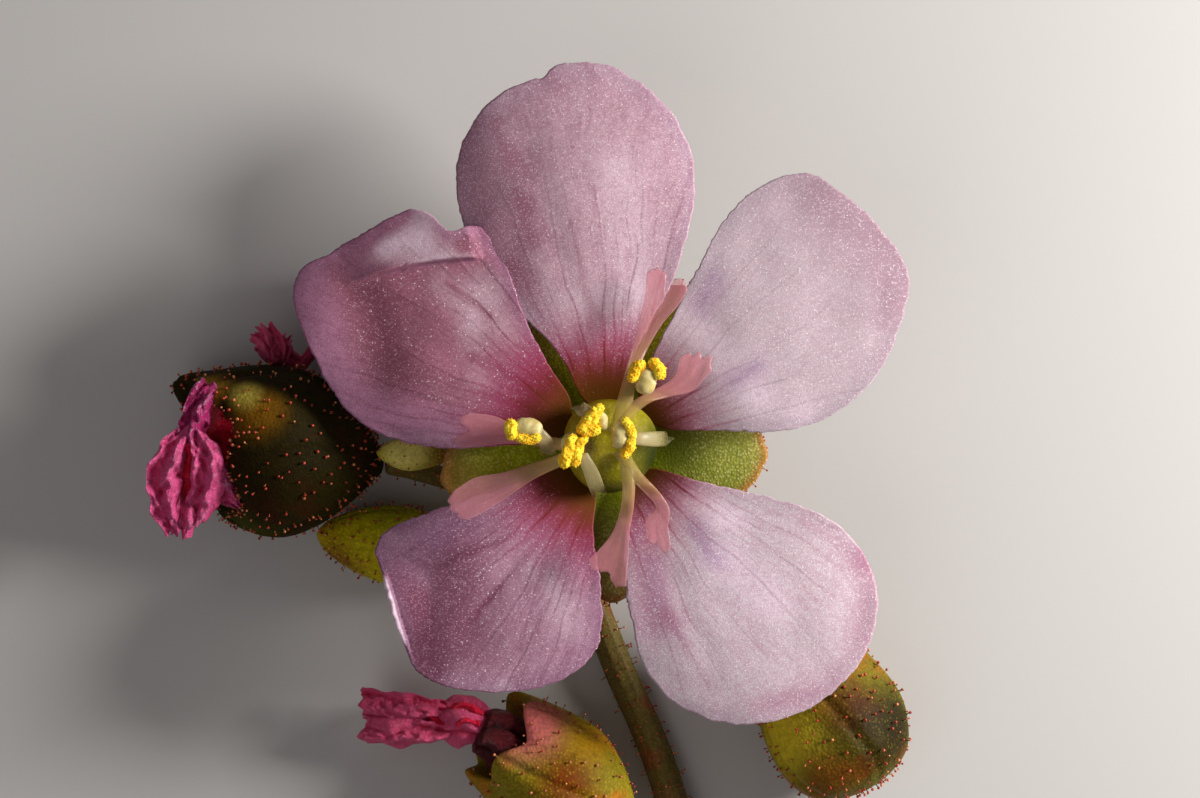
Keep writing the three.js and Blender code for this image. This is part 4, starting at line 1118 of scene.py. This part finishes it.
# Each arm is its left and right edges, from the ovary to the fan's end, and its lobes: how
# much further the end reaches, from its right corner to its left one, in millimetres.
STYLES = {
    "style_upper": [
        (
            [(-0.07, 0.44), (0.26, 1.6), (0.46, 2.29), (0.72, 3.2), (0.9, 3.9), (1, 4.6), (1.08, 5.3)],
            [(0.33, 0.31), (0.72, 1.35), (0.84, 2.05), (1.15, 3), (1.66, 3.9), (2.2, 4.5), (2.5, 4.95)],
            [0.2, 0.4, 0.5, 0.52, 0.45, -0.3, 0.5, 0.6, 0.62, 0.66, 0.6, 0.45],
        ),
        (
            [(0.03, 0.51), (0.55, 1.3), (1.15, 1.7), (1.75, 2), (2.1, 2.3), (2.24, 2.8)],
            [(0.36, 0.25), (0.72, 0.9), (1.3, 1.4), (1.95, 1.6), (2.7, 1.8), (3.3, 2.35)],
            [0.1, 0.25, 0.55, 0.6, 0.35, 0.5, 0.55, 0.35, 0.4, 0.35, 0.15],
        ),
    ],
    "style_left": [
        (
            [(-0.47, -0.1), (-1.3, -0.2), (-2.1, -0.08), (-3.1, 0.06), (-3.9, -0.02), (-4.6, -0.08)],
            [(-0.53, 0.25), (-1.3, 0.2), (-2.1, 0.31), (-2.9, 0.42), (-3.6, 0.92), (-4.35, 1.08)],
            [0.3, 0.5, 0.55, 0.5, 0.25, 0.2, 0.5, 0.62, 0.55, 0.3],
        ),
        (
            [(-0.47, -0.28), (-1.59, -0.68), (-2.51, -1.11), (-3.3, -1.65), (-3.9, -2.06), (-4.6, -2.4)],
            [(-0.53, 0.18), (-1.59, -0.25), (-2.64, -0.61), (-3.5, -0.88), (-4.3, -1), (-4.9, -1.35)],
            [0.3, 0.5, 0.62, 0.52, 0.62, 0.55, 0.4, 0.42, 0.3, 0.15],
        ),
    ],
    "style_lower": [
        (
            [(0.66, -0.1), (0.82, -1), (0.78, -2), (0.64, -2.9), (0.66, -3.6), (0.68, -4.3)],
            [(0.2, -0.15), (0.39, -1.1), (0.36, -2), (0.1, -2.8), (-0.3, -3.28), (-0.66, -3.6)],
            [0.2, 0.35, 0.4, 0.35, 0.3, 0.25, 0.45, 0.55, 0.5, 0.35],
        ),
        (
            [(0.53, -0.08), (1, -0.85), (1.55, -1.45), (1.9, -1.95), (1.99, -2.5), (1.98, -3.1)],
            [(0.06, -0.22), (0.7, -1.1), (1.2, -1.62), (1.5, -2), (1.22, -2.3), (1.2, -2.75)],
            [0.3, 0.42, 0.45, 0.3, 0.45, 0.55, 0.5, 0.35],
        ),
    ],
}


def style_arm(bm, edges, lobes, seed):
    left, right = (Route(edge) for edge in edges)

    def point(turn, share):
        angle = 2 * math.pi * turn
        across = math.cos(angle)
        near, far = left.at(share), right.at(share)
        behind = left.at(share - 0.04) + right.at(share - 0.04)
        forward = (near + far - behind).normalized() if share > 0 else Vector((0, 0, 0))
        spot = near.lerp(far, (1 - across) / 2)
        fan = step_up(share, 0.62, 1)
        torn = 0.07 * rough(across * 6, 0, seed=seed) + 0.04 * rough(across * 15, 0, seed=seed)
        spot += forward * ((between(lobes, (1 + across) / 2) + torn) * fan)
        thick = ARM_THICKNESS + (FAN_SHEET - ARM_THICKNESS) * step_up(share, 0.3, 0.75)
        thick *= min(1, share / 0.04, (1 - share) / 0.02)
        ripple = rough(across * 1.4, share * 3, seed=seed + 3) * 0.05 * fan + 0.05 * across**2 * fan
        height = between(ARM_HEIGHTS, share) + ripple + math.sin(angle) * thick
        return Vector((spot.x, spot.y, height))

    rolled(*ARM_CELLS, point, bm)


for index, (node, style) in enumerate(STYLES.items()):
    arms = bmesh.new()
    for number, (*edges, lobes) in enumerate(style):
        style_arm(arms, edges, lobes, 3 * index + number)
    piece(arms, f"{node}_arms", [STYLE_FLESH], [node])


# %% [markdown]
# ## Stamens
# A filament is a flat see-through ribbon that rises from a gap between two claws and bends
# over. It ends in a broad pale connective, and along its two sides the pollen sacs have burst
# open into bright yellow crumbly masses. Each mass is a lumpy rolled sheet with loose grains.

# %% Stamens
FILAMENT_HALF_WIDTH = 0.24
FILAMENT_THICKNESS = 0.08
GOLDEN_ANGLE = math.pi * (3 - math.sqrt(5))
POLLEN_HEIGHT = 8.1
GRAINS = 90
GRAIN = 0.028
FILAMENT_CELLS = (20, 36)
CONNECTIVE_CELLS = (28, 26)
POLLEN_CELLS = (40, 44)

# Each stamen is its filament, its connective and its pollen masses. The last two are routes
# seen from above, each with a radius.
STAMENS = {
    "upper_left": (
        [(-1.15, 1.3, 5.45), (-1.08, 1.25, 6.8), (-0.9, 1.18, 7.6), (-0.5, 1, 7.95)],
        ([(-0.62, 1.02), (-0.3, 0.95), (-0.2, 0.6)], 0.17),
        [([(-0.98, 0.52), (-0.7, 0.82), (-0.34, 1.26)], 0.19), ([(-0.85, 0.46), (-0.42, 0.52)], 0.16)],
    ),
    "lower_left": (
        [(-0.1, -1.9, 5.45), (-0.35, -1.6, 6.9), (-0.66, -0.8, 7.7), (-0.95, -0.25, 7.95)],
        ([(-1.5, -0.1), (-1.42, 0.22), (-1.15, 0.35)], 0.14),
        [
            ([(-1.22, 0.28), (-1.34, -0.1), (-1.52, -0.62)], 0.19),
            ([(-0.82, 0.22), (-1.02, 0.02), (-1.14, -0.6)], 0.15),
        ],
    ),
    "right": (
        [(1.95, 0.22, 5.45), (1.85, 0.22, 6.9), (1.2, 0.22, 7.7), (0.6, 0.25, 7.95)],
        ([(0.42, 0.66), (0.34, 0.36), (0.38, 0.06)], 0.3),
        [
            ([(0.5, 0.85), (0.66, 0.52), (0.74, 0.28)], 0.14),
            ([(0.72, 0.2), (0.62, -0.08), (0.46, -0.33)], 0.14),
        ],
    ),
    "left": (
        [(-2, -0.3, 5.45), (-2.05, -0.3, 6.9), (-2.1, 0.1, 7.85), (-2.5, 0.6, 8.1)],
        ([(-2.95, 0.58), (-2.7, 0.6), (-2.42, 0.48)], 0.33),
        [([(-3.26, 0.76), (-3.22, 0.3)], 0.18), ([(-2.98, 0.26), (-2.7, 0.2), (-2.36, 0.28)], 0.15)],
    ),
    "upper_right": (
        [(1.15, 1.95, 5.45), (1.3, 2.05, 6.9), (1.22, 2, 7.7), (1.18, 2.1, 7.95)],
        ([(1.12, 1.88), (1.18, 2.15), (1.22, 2.4)], 0.34),
        [
            ([(0.7, 2.2), (0.85, 2.5), (1.05, 2.68)], 0.18),
            ([(1.38, 2.74), (1.56, 2.55), (1.66, 2.28)], 0.18),
        ],
    ),
}


def filament(points):
    route = Route(points)

    def point(turn, share):
        angle = 2 * math.pi * turn
        centre, _, sideways, upwards = route.frame(share)
        half = FILAMENT_HALF_WIDTH * between([0.8, 1, 1.05, 0.8], share)
        end = 0 if share in (0, 1) else 1
        across = sideways * math.cos(angle) * half * end
        return centre + across + upwards * (math.sin(angle) * FILAMENT_THICKNESS * end)

    return rolled(*FILAMENT_CELLS, point)


def sausage(bm, flat_route, height, radius, cells, lumps, seed, material=0):
    """A blunt body along a level route, with lumps over it."""
    route = Route([(x, y, height) for x, y in flat_route])

    def point(turn, share):
        angle = 2 * math.pi * turn
        centre, along, sideways, upwards = route.frame(share)
        round_end = math.sqrt(max(0, 1 - (2 * share - 1) ** 4))
        spot = centre + (sideways * math.cos(angle) + upwards * math.sin(angle)) * radius * round_end
        swell = lumps * (rough(*(spot * 5), seed=seed) + 0.6 * rough(*(spot * 13), seed=seed))
        return spot + (spot - centre) * swell * round_end + along * (radius * (2 * share - 1) * 0.6)

    rolled(*cells, point, bm, material)
    return point


def pollen_mass(bm, flat_route, radius, draw):
    seed = draw.uniform(0, 50)
    surface = sausage(bm, flat_route, POLLEN_HEIGHT, 1.12 * radius, POLLEN_CELLS, 0.35, seed)
    for i in range(GRAINS):
        spot = surface((i * GOLDEN_ANGLE / (2 * math.pi)) % 1, (i + 0.5) / GRAINS)
        size = GRAIN * draw.uniform(0.7, 1.3)
        bmesh.ops.create_icosphere(bm, subdivisions=1, radius=size, matrix=Matrix.Translation(spot))


pollen_draw = random.Random(5)
for side, (thread_route, (flat_route, radius), masses) in STAMENS.items():
    thread = filament(thread_route)
    height = POLLEN_HEIGHT - 0.2
    sausage(thread, flat_route, height, radius, CONNECTIVE_CELLS, lumps=0.12, seed=1, material=1)
    node = f"filament_{side}"
    piece(thread, f"{node}_ribbon", [FILAMENT_FLESH, CONNECTIVE], [node])
    anther = bmesh.new()
    for mass in masses:
        pollen_mass(anther, *mass, pollen_draw)
    piece(anther, f"anther_{side}_pollen", [POLLEN], [f"anther_{side}"])


# %% [markdown]
# ## Spent flowers and closed calyces
# After flowering the five sepals close over the growing pod. Each such calyx is a rolled
# sheet with five shallow seams. On a spent flower it is open at the end, where the petals
# have shrunk to a crumpled, pleated bundle. All of them bristle with stalked glands.

# %% Calyx bodies
PEDICEL_RADIUS = 0.36
CALYX_CELLS = (120, 90)
FLOOR_ZONE = 0.25  # no glands this close to the floor
GLAND_SINK = 0.03  # how deep a gland's foot sits in the skin


def foot_rows(length, radius):
    """The blunt foot of a calyx, as wide as the pedicel it sits on, and the flare above."""
    foot = min(PEDICEL_RADIUS, 0.27 * radius)
    return [(0, 0, 0), (0.03, foot, 0), (0.05 * length, max(0.24 * radius, 1.1 * foot), 0)]


def open_profile(length, radius, mouth_radius):
    """Rows of way along, radius and how much the mouth's slant and teeth act there."""
    wall = [(0.15, 0.5, 0), (0.29, 0.77, 0), (0.45, 0.96, 0), (0.6, 1, 0), (0.78, 0.93, 0.4)]
    mouth = [(0.92, 1, 1), (0.9, 0.85, 1), (0.77, 0.66, 0.3), (0.7, 0, 0)]
    return [
        *foot_rows(length, radius),
        *((way * length, wide * radius, lip) for way, wide, lip in wall),
        *((way * length, wide * mouth_radius, lip) for way, wide, lip in mouth),
    ]


def closed_profile(length, radius, bluntness):
    """The same rows for a calyx that draws in to a tip, sharp at 0 and blunt at 1."""

    def blunt(low, high):
        return low + (high - low) * bluntness

    wall = [(0.17, 0.55), (0.36, 0.82), (0.58, 1), (0.76, blunt(0.78, 1)), (0.9, blunt(0.42, 0.8))]
    wall += [(0.97, blunt(0.18, 0.45)), (1, 0)]
    return [*foot_rows(length, radius), *((way * length, wide * radius, 0) for way, wide in wall)]


def calyx_shape(base, tip, rows, tilt=0, slant=0, teeth=0, seed=0):
    """shape(turn, share) of a calyx, as rolled() takes it."""
    along = (Vector(tip) - Vector(base)).normalized()
    sideways = UP.cross(along).normalized()
    upwards = along.cross(sideways)
    profile = Route(rows)

    def point(turn, share):
        way, radius, mouth = profile.at(share)
        angle = 2 * math.pi * turn
        tooth = (0.5 + 0.5 * math.cos(5 * angle)) ** 0.7
        lean = tilt * math.sin(angle) + slant * math.cos(angle)
        way += max(mouth, 0) * (teeth * tooth - lean)
        seam = abs(math.sin(2.5 * angle + 0.5 * math.pi + 0.25 * way))
        groove = 0.05 * math.exp(-((seam / 0.16) ** 2))
        swell = 0.03 * rough(math.cos(angle) * 1.5, math.sin(angle) * 1.5, way * 0.5, seed=seed)
        radius = max(radius, 0) * (1 - groove + swell + 0.02 * math.cos(5 * angle))
        if share in (0, 1):
            radius = 0
        spot = Vector(base) + along * way
        spot += (sideways * math.cos(angle) + upwards * math.sin(angle)) * radius
        spot.z = max(spot.z, 0)
        return spot

    return point


def gland_coat(bm, shape, share_range, count, length, head, pale_share, draw):
    """Stalked glands evenly over the outside of a calyx, each standing straight off it."""
    low, high = share_range
    for i in range(count):
        share = low + (high - low) * (i + 0.5) / count
        share += (high - low) * draw.uniform(-0.02, 0.02)
        turn = (i * GOLDEN_ANGLE / (2 * math.pi) + draw.uniform(-0.03, 0.03)) % 1
        foot = shape(turn, share)
        if foot.z < FLOOR_ZONE:
            continue
        around = shape((turn + 0.01) % 1, share) - foot
        along = shape(turn, share + 0.01) - foot
        lean = Vector([draw.uniform(-0.25, 0.25) for _ in range(3)])
        outwards = (around.cross(along).normalized() + lean).normalized()
        tall = length * draw.uniform(0.6, 1.3)
        if foot.z + outwards.z * tall < head:
            continue
        pale = 2 if draw.random() < pale_share else 1
        foot -= outwards * GLAND_SINK
        add_gland(bm, foot, outwards, tall, head * draw.uniform(0.75, 1.25), pale)


# Each calyx is its slot and skin, the arguments of calyx_shape, its glands (how many, the
# range they cover and how many are pale) and the fringe of glands below a wide mouth.
CALYCES = {
    "spent_left_calyx": (
        "calyx_dark", LEFT_CALYX_SKIN,
        ((-7.75, -0.64, 2.87), (-14, 0.1, 2.87), open_profile(6.2, 2.93, 2.35), 1, 0.85, 0.5),
        (420, (0.06, 0.74), 0.25), 140,
    ),
    "spent_behind_calyx": (
        "calyx_dark", DARK_SKIN,
        ((-4.3, 4, 1.99), (-9.5, 4.75, 1.99), open_profile(5.3, 2.05, 1.5), 0.4, 0, 0.5),
        (200, (0.06, 0.74), 0.25), 0,
    ),
    "spent_bottom_calyx": (
        "calyx_olive", BOTTOM_CALYX_SKIN,
        ((0.9, -13.45, 2.14), (-3.9, -10, 2.14), open_profile(5.9, 2.2, 1.75), 0.5, 0, 0.5),
        (200, (0.06, 0.74), 0.6), 0,
    ),
    "closed_left_calyx": (
        "calyx_olive", YELLOW_SKIN,
        ((-3.5, -4, 1.3), (-10.2, -3.15, 1.3), closed_profile(6.75, 1.36, 0.3)),
        (240, (0.06, 0.93), 0.4), 0,
    ),
    "closed_right_calyx": (
        "calyx_olive", OLIVE_SKIN,
        ((5.5, -5.4, 2.34), (8.85, -11.95, 2.34), closed_profile(7.35, 2.4, 1)),
        (420, (0.06, 0.95), 0.25), 0,
    ),
}

for index, (node, (slot, skin, form, (count, covered, pale), fringe)) in enumerate(CALYCES.items()):
    shape = calyx_shape(*form, seed=index)
    piece(rolled(*CALYX_CELLS, shape), f"{node}_skin", [skin], [node])
    coat = bmesh.new()
    draw = random.Random(40 + index)
    gland_coat(coat, shape, covered, count, 0.15, head=0.05, pale_share=pale, draw=draw)
    gland_coat(coat, shape, (0.6, 0.76), fringe, 0.1, head=0.055, pale_share=0.6, draw=draw)
    piece(coat, f"{node}_glands", GLAND_MATERIALS)


# %% Withered corollas
PLEATS = 5
TWIST = 1.4
CORE_CELLS = (80, 60)
FLAP_CELLS = (64, 100)

# A corolla is a few cores with crumpled flaps round them. Each is the number of its finish
# in COROLLA_SKINS and a route, whose points end with the half width there.
COROLLAS = {
    "spent_left_corolla": {
        "cores": [
            (2, [(-12.5, 0.5, 3.3, 0.5), (-13.1, 0.8, 3.9, 0.85), (-13.5, 0.9, 4.2, 0.6)]),
            (2, [(-12.5, -0.3, 3, 0.4), (-13.3, -0.2, 3.5, 0.7), (-14.1, 0.05, 3.9, 0.6)]),
            (2, [
                (-14, 0.2, 4.1, 0.6), (-14.3, -0.8, 3.9, 0.75), (-14.4, -1.9, 3.5, 0.75),
                (-14.6, -2.8, 3, 0.4),
            ]),
        ],
        "flaps": [
            (0, [
                (-13.5, 2.1, 4.6, 0.34), (-13.8, 1.5, 5, 0.42), (-14, 0.8, 5.1, 0.48),
                (-14.25, 0.2, 5, 0.42),
            ]),
            (1, [
                (-14.2, 0.7, 4.9, 0.25), (-14.7, -0.2, 5.15, 0.46), (-15, -1.1, 5.05, 0.58),
                (-14.95, -2.1, 4.8, 0.55), (-14.7, -3, 4.45, 0.34),
            ]),
            (1, [
                (-13.9, 0.4, 5, 0.25), (-13.55, -0.4, 5.3, 0.5), (-13.5, -1.2, 5.1, 0.62),
                (-13.75, -2, 4.85, 0.55), (-14, -2.6, 4.55, 0.34),
            ]),
            (1, [
                (-13.4, -0.6, 4.9, 0.3), (-13.1, -1.2, 4.8, 0.4), (-12.85, -1.75, 4.5, 0.36),
                (-12.5, -2.25, 4, 0.06),
            ]),
            (1, [(-14.3, -1.8, 4.6, 0.3), (-14.4, -2.4, 4.7, 0.5), (-14.5, -3.1, 4.3, 0.36)]),
            (2, [(-14.2, 0.1, 4.9, 0.4), (-14.3, -0.7, 4.75, 0.45), (-14.35, -1.5, 4.45, 0.3)]),
        ],
    },
    "spent_behind_corolla": {
        "cores": [
            (3, [
                (-8.5, 4.6, 2.1, 0.3), (-9.5, 4.35, 2, 0.3), (-10.2, 3.35, 1.05, 0.22),
                (-10.85, 2.75, 0.8, 0.22), (-11.4, 3.1, 1.6, 0.42), (-11.7, 3.45, 2.4, 0.6),
                (-12, 3.85, 2.8, 0.4),
            ]),
        ],
        "flaps": [
            (3, [(-11.5, 2.9, 2.4, 0.3), (-11.85, 3.5, 2.9, 0.42), (-12.2, 3.75, 2.9, 0.3)]),
            (3, [(-11.4, 3, 2.5, 0.3), (-11.6, 3.6, 3, 0.4), (-11.8, 4.05, 2.9, 0.3)]),
            (3, [(-11.3, 2.9, 2.3, 0.25), (-11.25, 3.4, 2.6, 0.35), (-11.05, 3.7, 2.5, 0.22)]),
        ],
    },
    "spent_bottom_corolla": {
        "cores": [
            (4, [(-2.9, -10.8, 2.2, 0.5), (-3.6, -10.2, 2.6, 1), (-4.5, -9.75, 2.8, 0.85)]),
            (3, [
                (-3.9, -10, 2.5, 0.5), (-4.8, -9.6, 2.4, 0.9), (-5.6, -9.6, 1.95, 0.6),
                (-7, -9.6, 1.65, 0.95), (-8.4, -9.5, 1.3, 0.6),
            ]),
        ],
        "flaps": [
            (2, [
                (-4.4, -9.5, 3.1, 0.35), (-5, -9.3, 3.1, 0.45), (-5.6, -9.5, 2.6, 0.4),
                (-6.2, -9.4, 2.5, 0.4),
            ]),
            (3, [(-5.6, -9.2, 2.5, 0.35), (-6.6, -9.1, 2.6, 0.5), (-8.6, -8.9, 2, 0.5)]),
            (3, [(-5.4, -9.9, 2.6, 0.3), (-6.4, -9.9, 2.6, 0.45), (-8.5, -9.9, 1.9, 0.5)]),
        ],
    },
}


def withered_core(bm, material, rows, seed):
    route = Route([row[:3] for row in rows])
    widths = [row[3] for row in rows]

    def point(turn, share):
        angle = 2 * math.pi * turn
        centre, _, sideways, upwards = route.frame(share)
        round_x, round_y = math.cos(angle), math.sin(angle)
        drift = 0.9 * rough(round_x * 1.2, round_y * 1.2, share * 2.5, seed=seed)
        pleat = abs(math.sin(0.5 * PLEATS * angle + TWIST * share + drift)) ** 0.6
        crumple = rough(round_x * 2.6, round_y * 2.6, share * route.length * 2, seed=seed + 4)
        radius = between(widths, share) * (0.68 + 0.32 * pleat + 0.18 * crumple)
        radius *= min(1, (share / 0.04) ** 0.5, ((1 - share) / 0.07) ** 0.5)
        spot = centre + (sideways * round_x + upwards * round_y) * radius
        spot.z = max(spot.z, 0)
        return spot, min(1, max(0, pleat + 0.5 * crumple))

    rolled(*CORE_CELLS, point, bm, material)


def withered_flap(bm, material, rows, seed):
    """A shrunken petal: a thin ribbon, folded lengthwise and finely crinkled across."""
    route = Route([row[:3] for row in rows])
    halves = [row[3] for row in rows]

    def point(turn, share):
        angle = 2 * math.pi * turn
        across = math.cos(angle)
        way = share * route.length
        centre, along, sideways, upwards = route.frame(share)
        half = between(halves, share) * (1 + 0.2 * rough(way * 2, 3 if across > 0 else 7, seed=seed))
        fold = 0.14 * math.sin(across * 4.2 + 2 * rough(way * 0.6, 1, seed=seed)) - 0.15 * across**2
        crumple = 0.2 * rough(across * 2.2, way * 2.2, seed=seed + 1)
        crinkle = 0.09 * rough(across * 3.5, way * 3.8, seed=seed + 2)
        crinkle += 0.035 * rough(across * 7, way * 9, seed=seed + 3)
        crease = 0.16 * (0.3 - abs(rough(across * 2.6, way * 2.2, seed=seed + 5)))
        end = 0.25 * rough(across * 3, 0, seed=seed + 8) * step_up(share, 0.7, 1)
        thick = 0.06 * min(1, share / 0.03, (1 - share) / 0.03)
        lift = fold + crumple + crinkle + crease
        spot = centre + sideways * (across * half) + upwards * (lift + math.sin(angle) * thick)
        spot += along * end
        spot.z = max(spot.z, 0)
        return spot, min(1, max(0, 0.65 + 2 * (lift + 0.15 * across**2)))

    rolled(*FLAP_CELLS, point, bm, material)


for index, (node, parts) in enumerate(COROLLAS.items()):
    corolla = bmesh.new()
    for number, core in enumerate(parts["cores"]):
        withered_core(corolla, *core, 10 * index + number)
    for number, flap in enumerate(parts["flaps"]):
        withered_flap(corolla, *flap, 10 * index + number + 5)
    piece(corolla, f"{node}_folds", COROLLA_SKINS, [node])


# %% Buds
BUD_CELLS = (48, 40)
BUDS = {
    "bud_small": ((-5.25, -0.36, 3.55), (-7.95, -0.3, 3.8), 2.7, 0.58),
    "bud_tip_first": ((3.87, -3.3, 0.6), (3.5, -5.35, 0.6), 2.1, 0.66),
    "bud_tip_second": ((3.35, -2.85, 0.5), (1.6, -3.6, 0.5), 1.9, 0.56),
    "bud_tip_third": ((4.6, -3.05, 0.44), (5.1, -4.65, 0.44), 1.65, 0.5),
}
for index, (node, (base, tip, length, radius)) in enumerate(BUDS.items()):
    shape = calyx_shape(base, tip, closed_profile(length, radius, 0.2), seed=20 + index)
    piece(rolled(*BUD_CELLS, shape), f"{node}_skin", [BUD_SKIN], [node])
    coat = bmesh.new()
    draw = random.Random(70 + index)
    gland_coat(coat, shape, (0.08, 0.95), 50, 0.11, head=0.032, pale_share=0.3, draw=draw)
    piece(coat, f"{node}_glands", GLAND_MATERIALS)


# %% [markdown]
# ## Stalk
# The stalk and its pedicels grew in one piece. Each is a rolled sheet along the frame's
# route, with fine lengthwise ribs and scattered glands.

# %% Stalk
STALK_RADIUS = 0.62
STALK_TIP_RADIUS = 0.42
STALK_CELLS = (36, 260)
PEDICEL_CELLS = (24, 40)
PRESS = 0.06  # how far the stalk sinks into the floor before it is flattened to it
STALK_ROUTE = [
    (4.3, -22.8), (3.6, -19), (2.9, -15.2), (1.7, -11), (0.3, -7.8), (-0.7, -5), (-0.9, -2.4),
    (0, 0), (1.5, 1.35), (3, 1.35), (4, 0.2), (4.2, -1.5), (3.9, -3.1),
]
PEDICELS = [
    [(0, 0, 0.4), (0, 0, 1.6), (0, 0, 3.25)],
    [(-0.95, -3, 0.5), (-4.2, -1.7, 1.3), (-6.5, -0.95, 2.15), (-7.7, -0.66, 2.82)],
    [(-0.3, -0.7, 0.5), (-2.1, 1.8, 1.2), (-4.25, 3.95, 1.97)],
    [(2.55, -14.6, 0.5), (2, -14.3, 1.4), (0.95, -13.49, 2.12)],
    [(-0.9, -4.2, 0.5), (-2.1, -4.15, 0.95), (-3.45, -4.01, 1.29)],
    [(4.15, -1.7, 0.5), (5.2, -2.6, 1.35), (5.65, -4, 2.1), (5.51, -5.36, 2.34)],
    [(-0.75, -1.6, 0.5), (-2.9, -0.8, 2), (-5.2, -0.36, 3.53)],
]


def stem_shape(points, start_radius, end_radius, seed):
    route = Route(points)

    def point(turn, share):
        angle = 2 * math.pi * turn
        centre, _, sideways, upwards = route.frame(share)
        radius = start_radius + (end_radius - start_radius) * share
        radius *= 1 + 0.035 * math.cos(9 * angle) + 0.04 * rough(share * 14, angle, seed=seed)
        if share in (0, 1):
            radius = 0
        spot = centre + (sideways * math.cos(angle) + upwards * math.sin(angle)) * radius
        spot.z = max(spot.z, 0)
        return spot

    return point


last = len(STALK_ROUTE) - 1
stalk_points = [
    (x, y, STALK_RADIUS + (STALK_TIP_RADIUS - STALK_RADIUS) * i / last - PRESS)
    for i, (x, y) in enumerate(STALK_ROUTE)
]
stalk = bmesh.new()
coat = bmesh.new()
stalk_draw = random.Random(90)
shape = stem_shape(stalk_points, STALK_RADIUS, STALK_TIP_RADIUS, 0)
rolled(*STALK_CELLS, shape, stalk)
gland_coat(coat, shape, (0.01, 0.98), 560, 0.18, head=0.042, pale_share=0.3, draw=stalk_draw)
for index, points in enumerate(PEDICELS):
    wide = 0.1 if index == 0 else 0
    shape = stem_shape(points, PEDICEL_RADIUS + wide, PEDICEL_RADIUS + 3 * wide, 1 + index)
    rolled(*PEDICEL_CELLS, shape, stalk)
    gland_coat(coat, shape, (0.1, 0.95), 50, 0.17, head=0.04, pale_share=0.3, draw=stalk_draw)
piece(stalk, "stalk_skin", [STALK_SKIN], ["stalk"])
piece(coat, "stalk_glands", GLAND_MATERIALS)


# %% [markdown]
# ## Sizes
# The frame's box and the visual model's box are printed side by side.

# %% Sizes
visual_box = [list(corner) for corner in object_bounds()]
for axis, name in enumerate("xyz"):
    cad = [round(corner[axis] / MM, 2) for corner in cad_box]
    visual = [round(corner[axis] / MM, 2) for corner in visual_box]
    print(f"{name}: frame {cad} mm, visual {visual} mm")
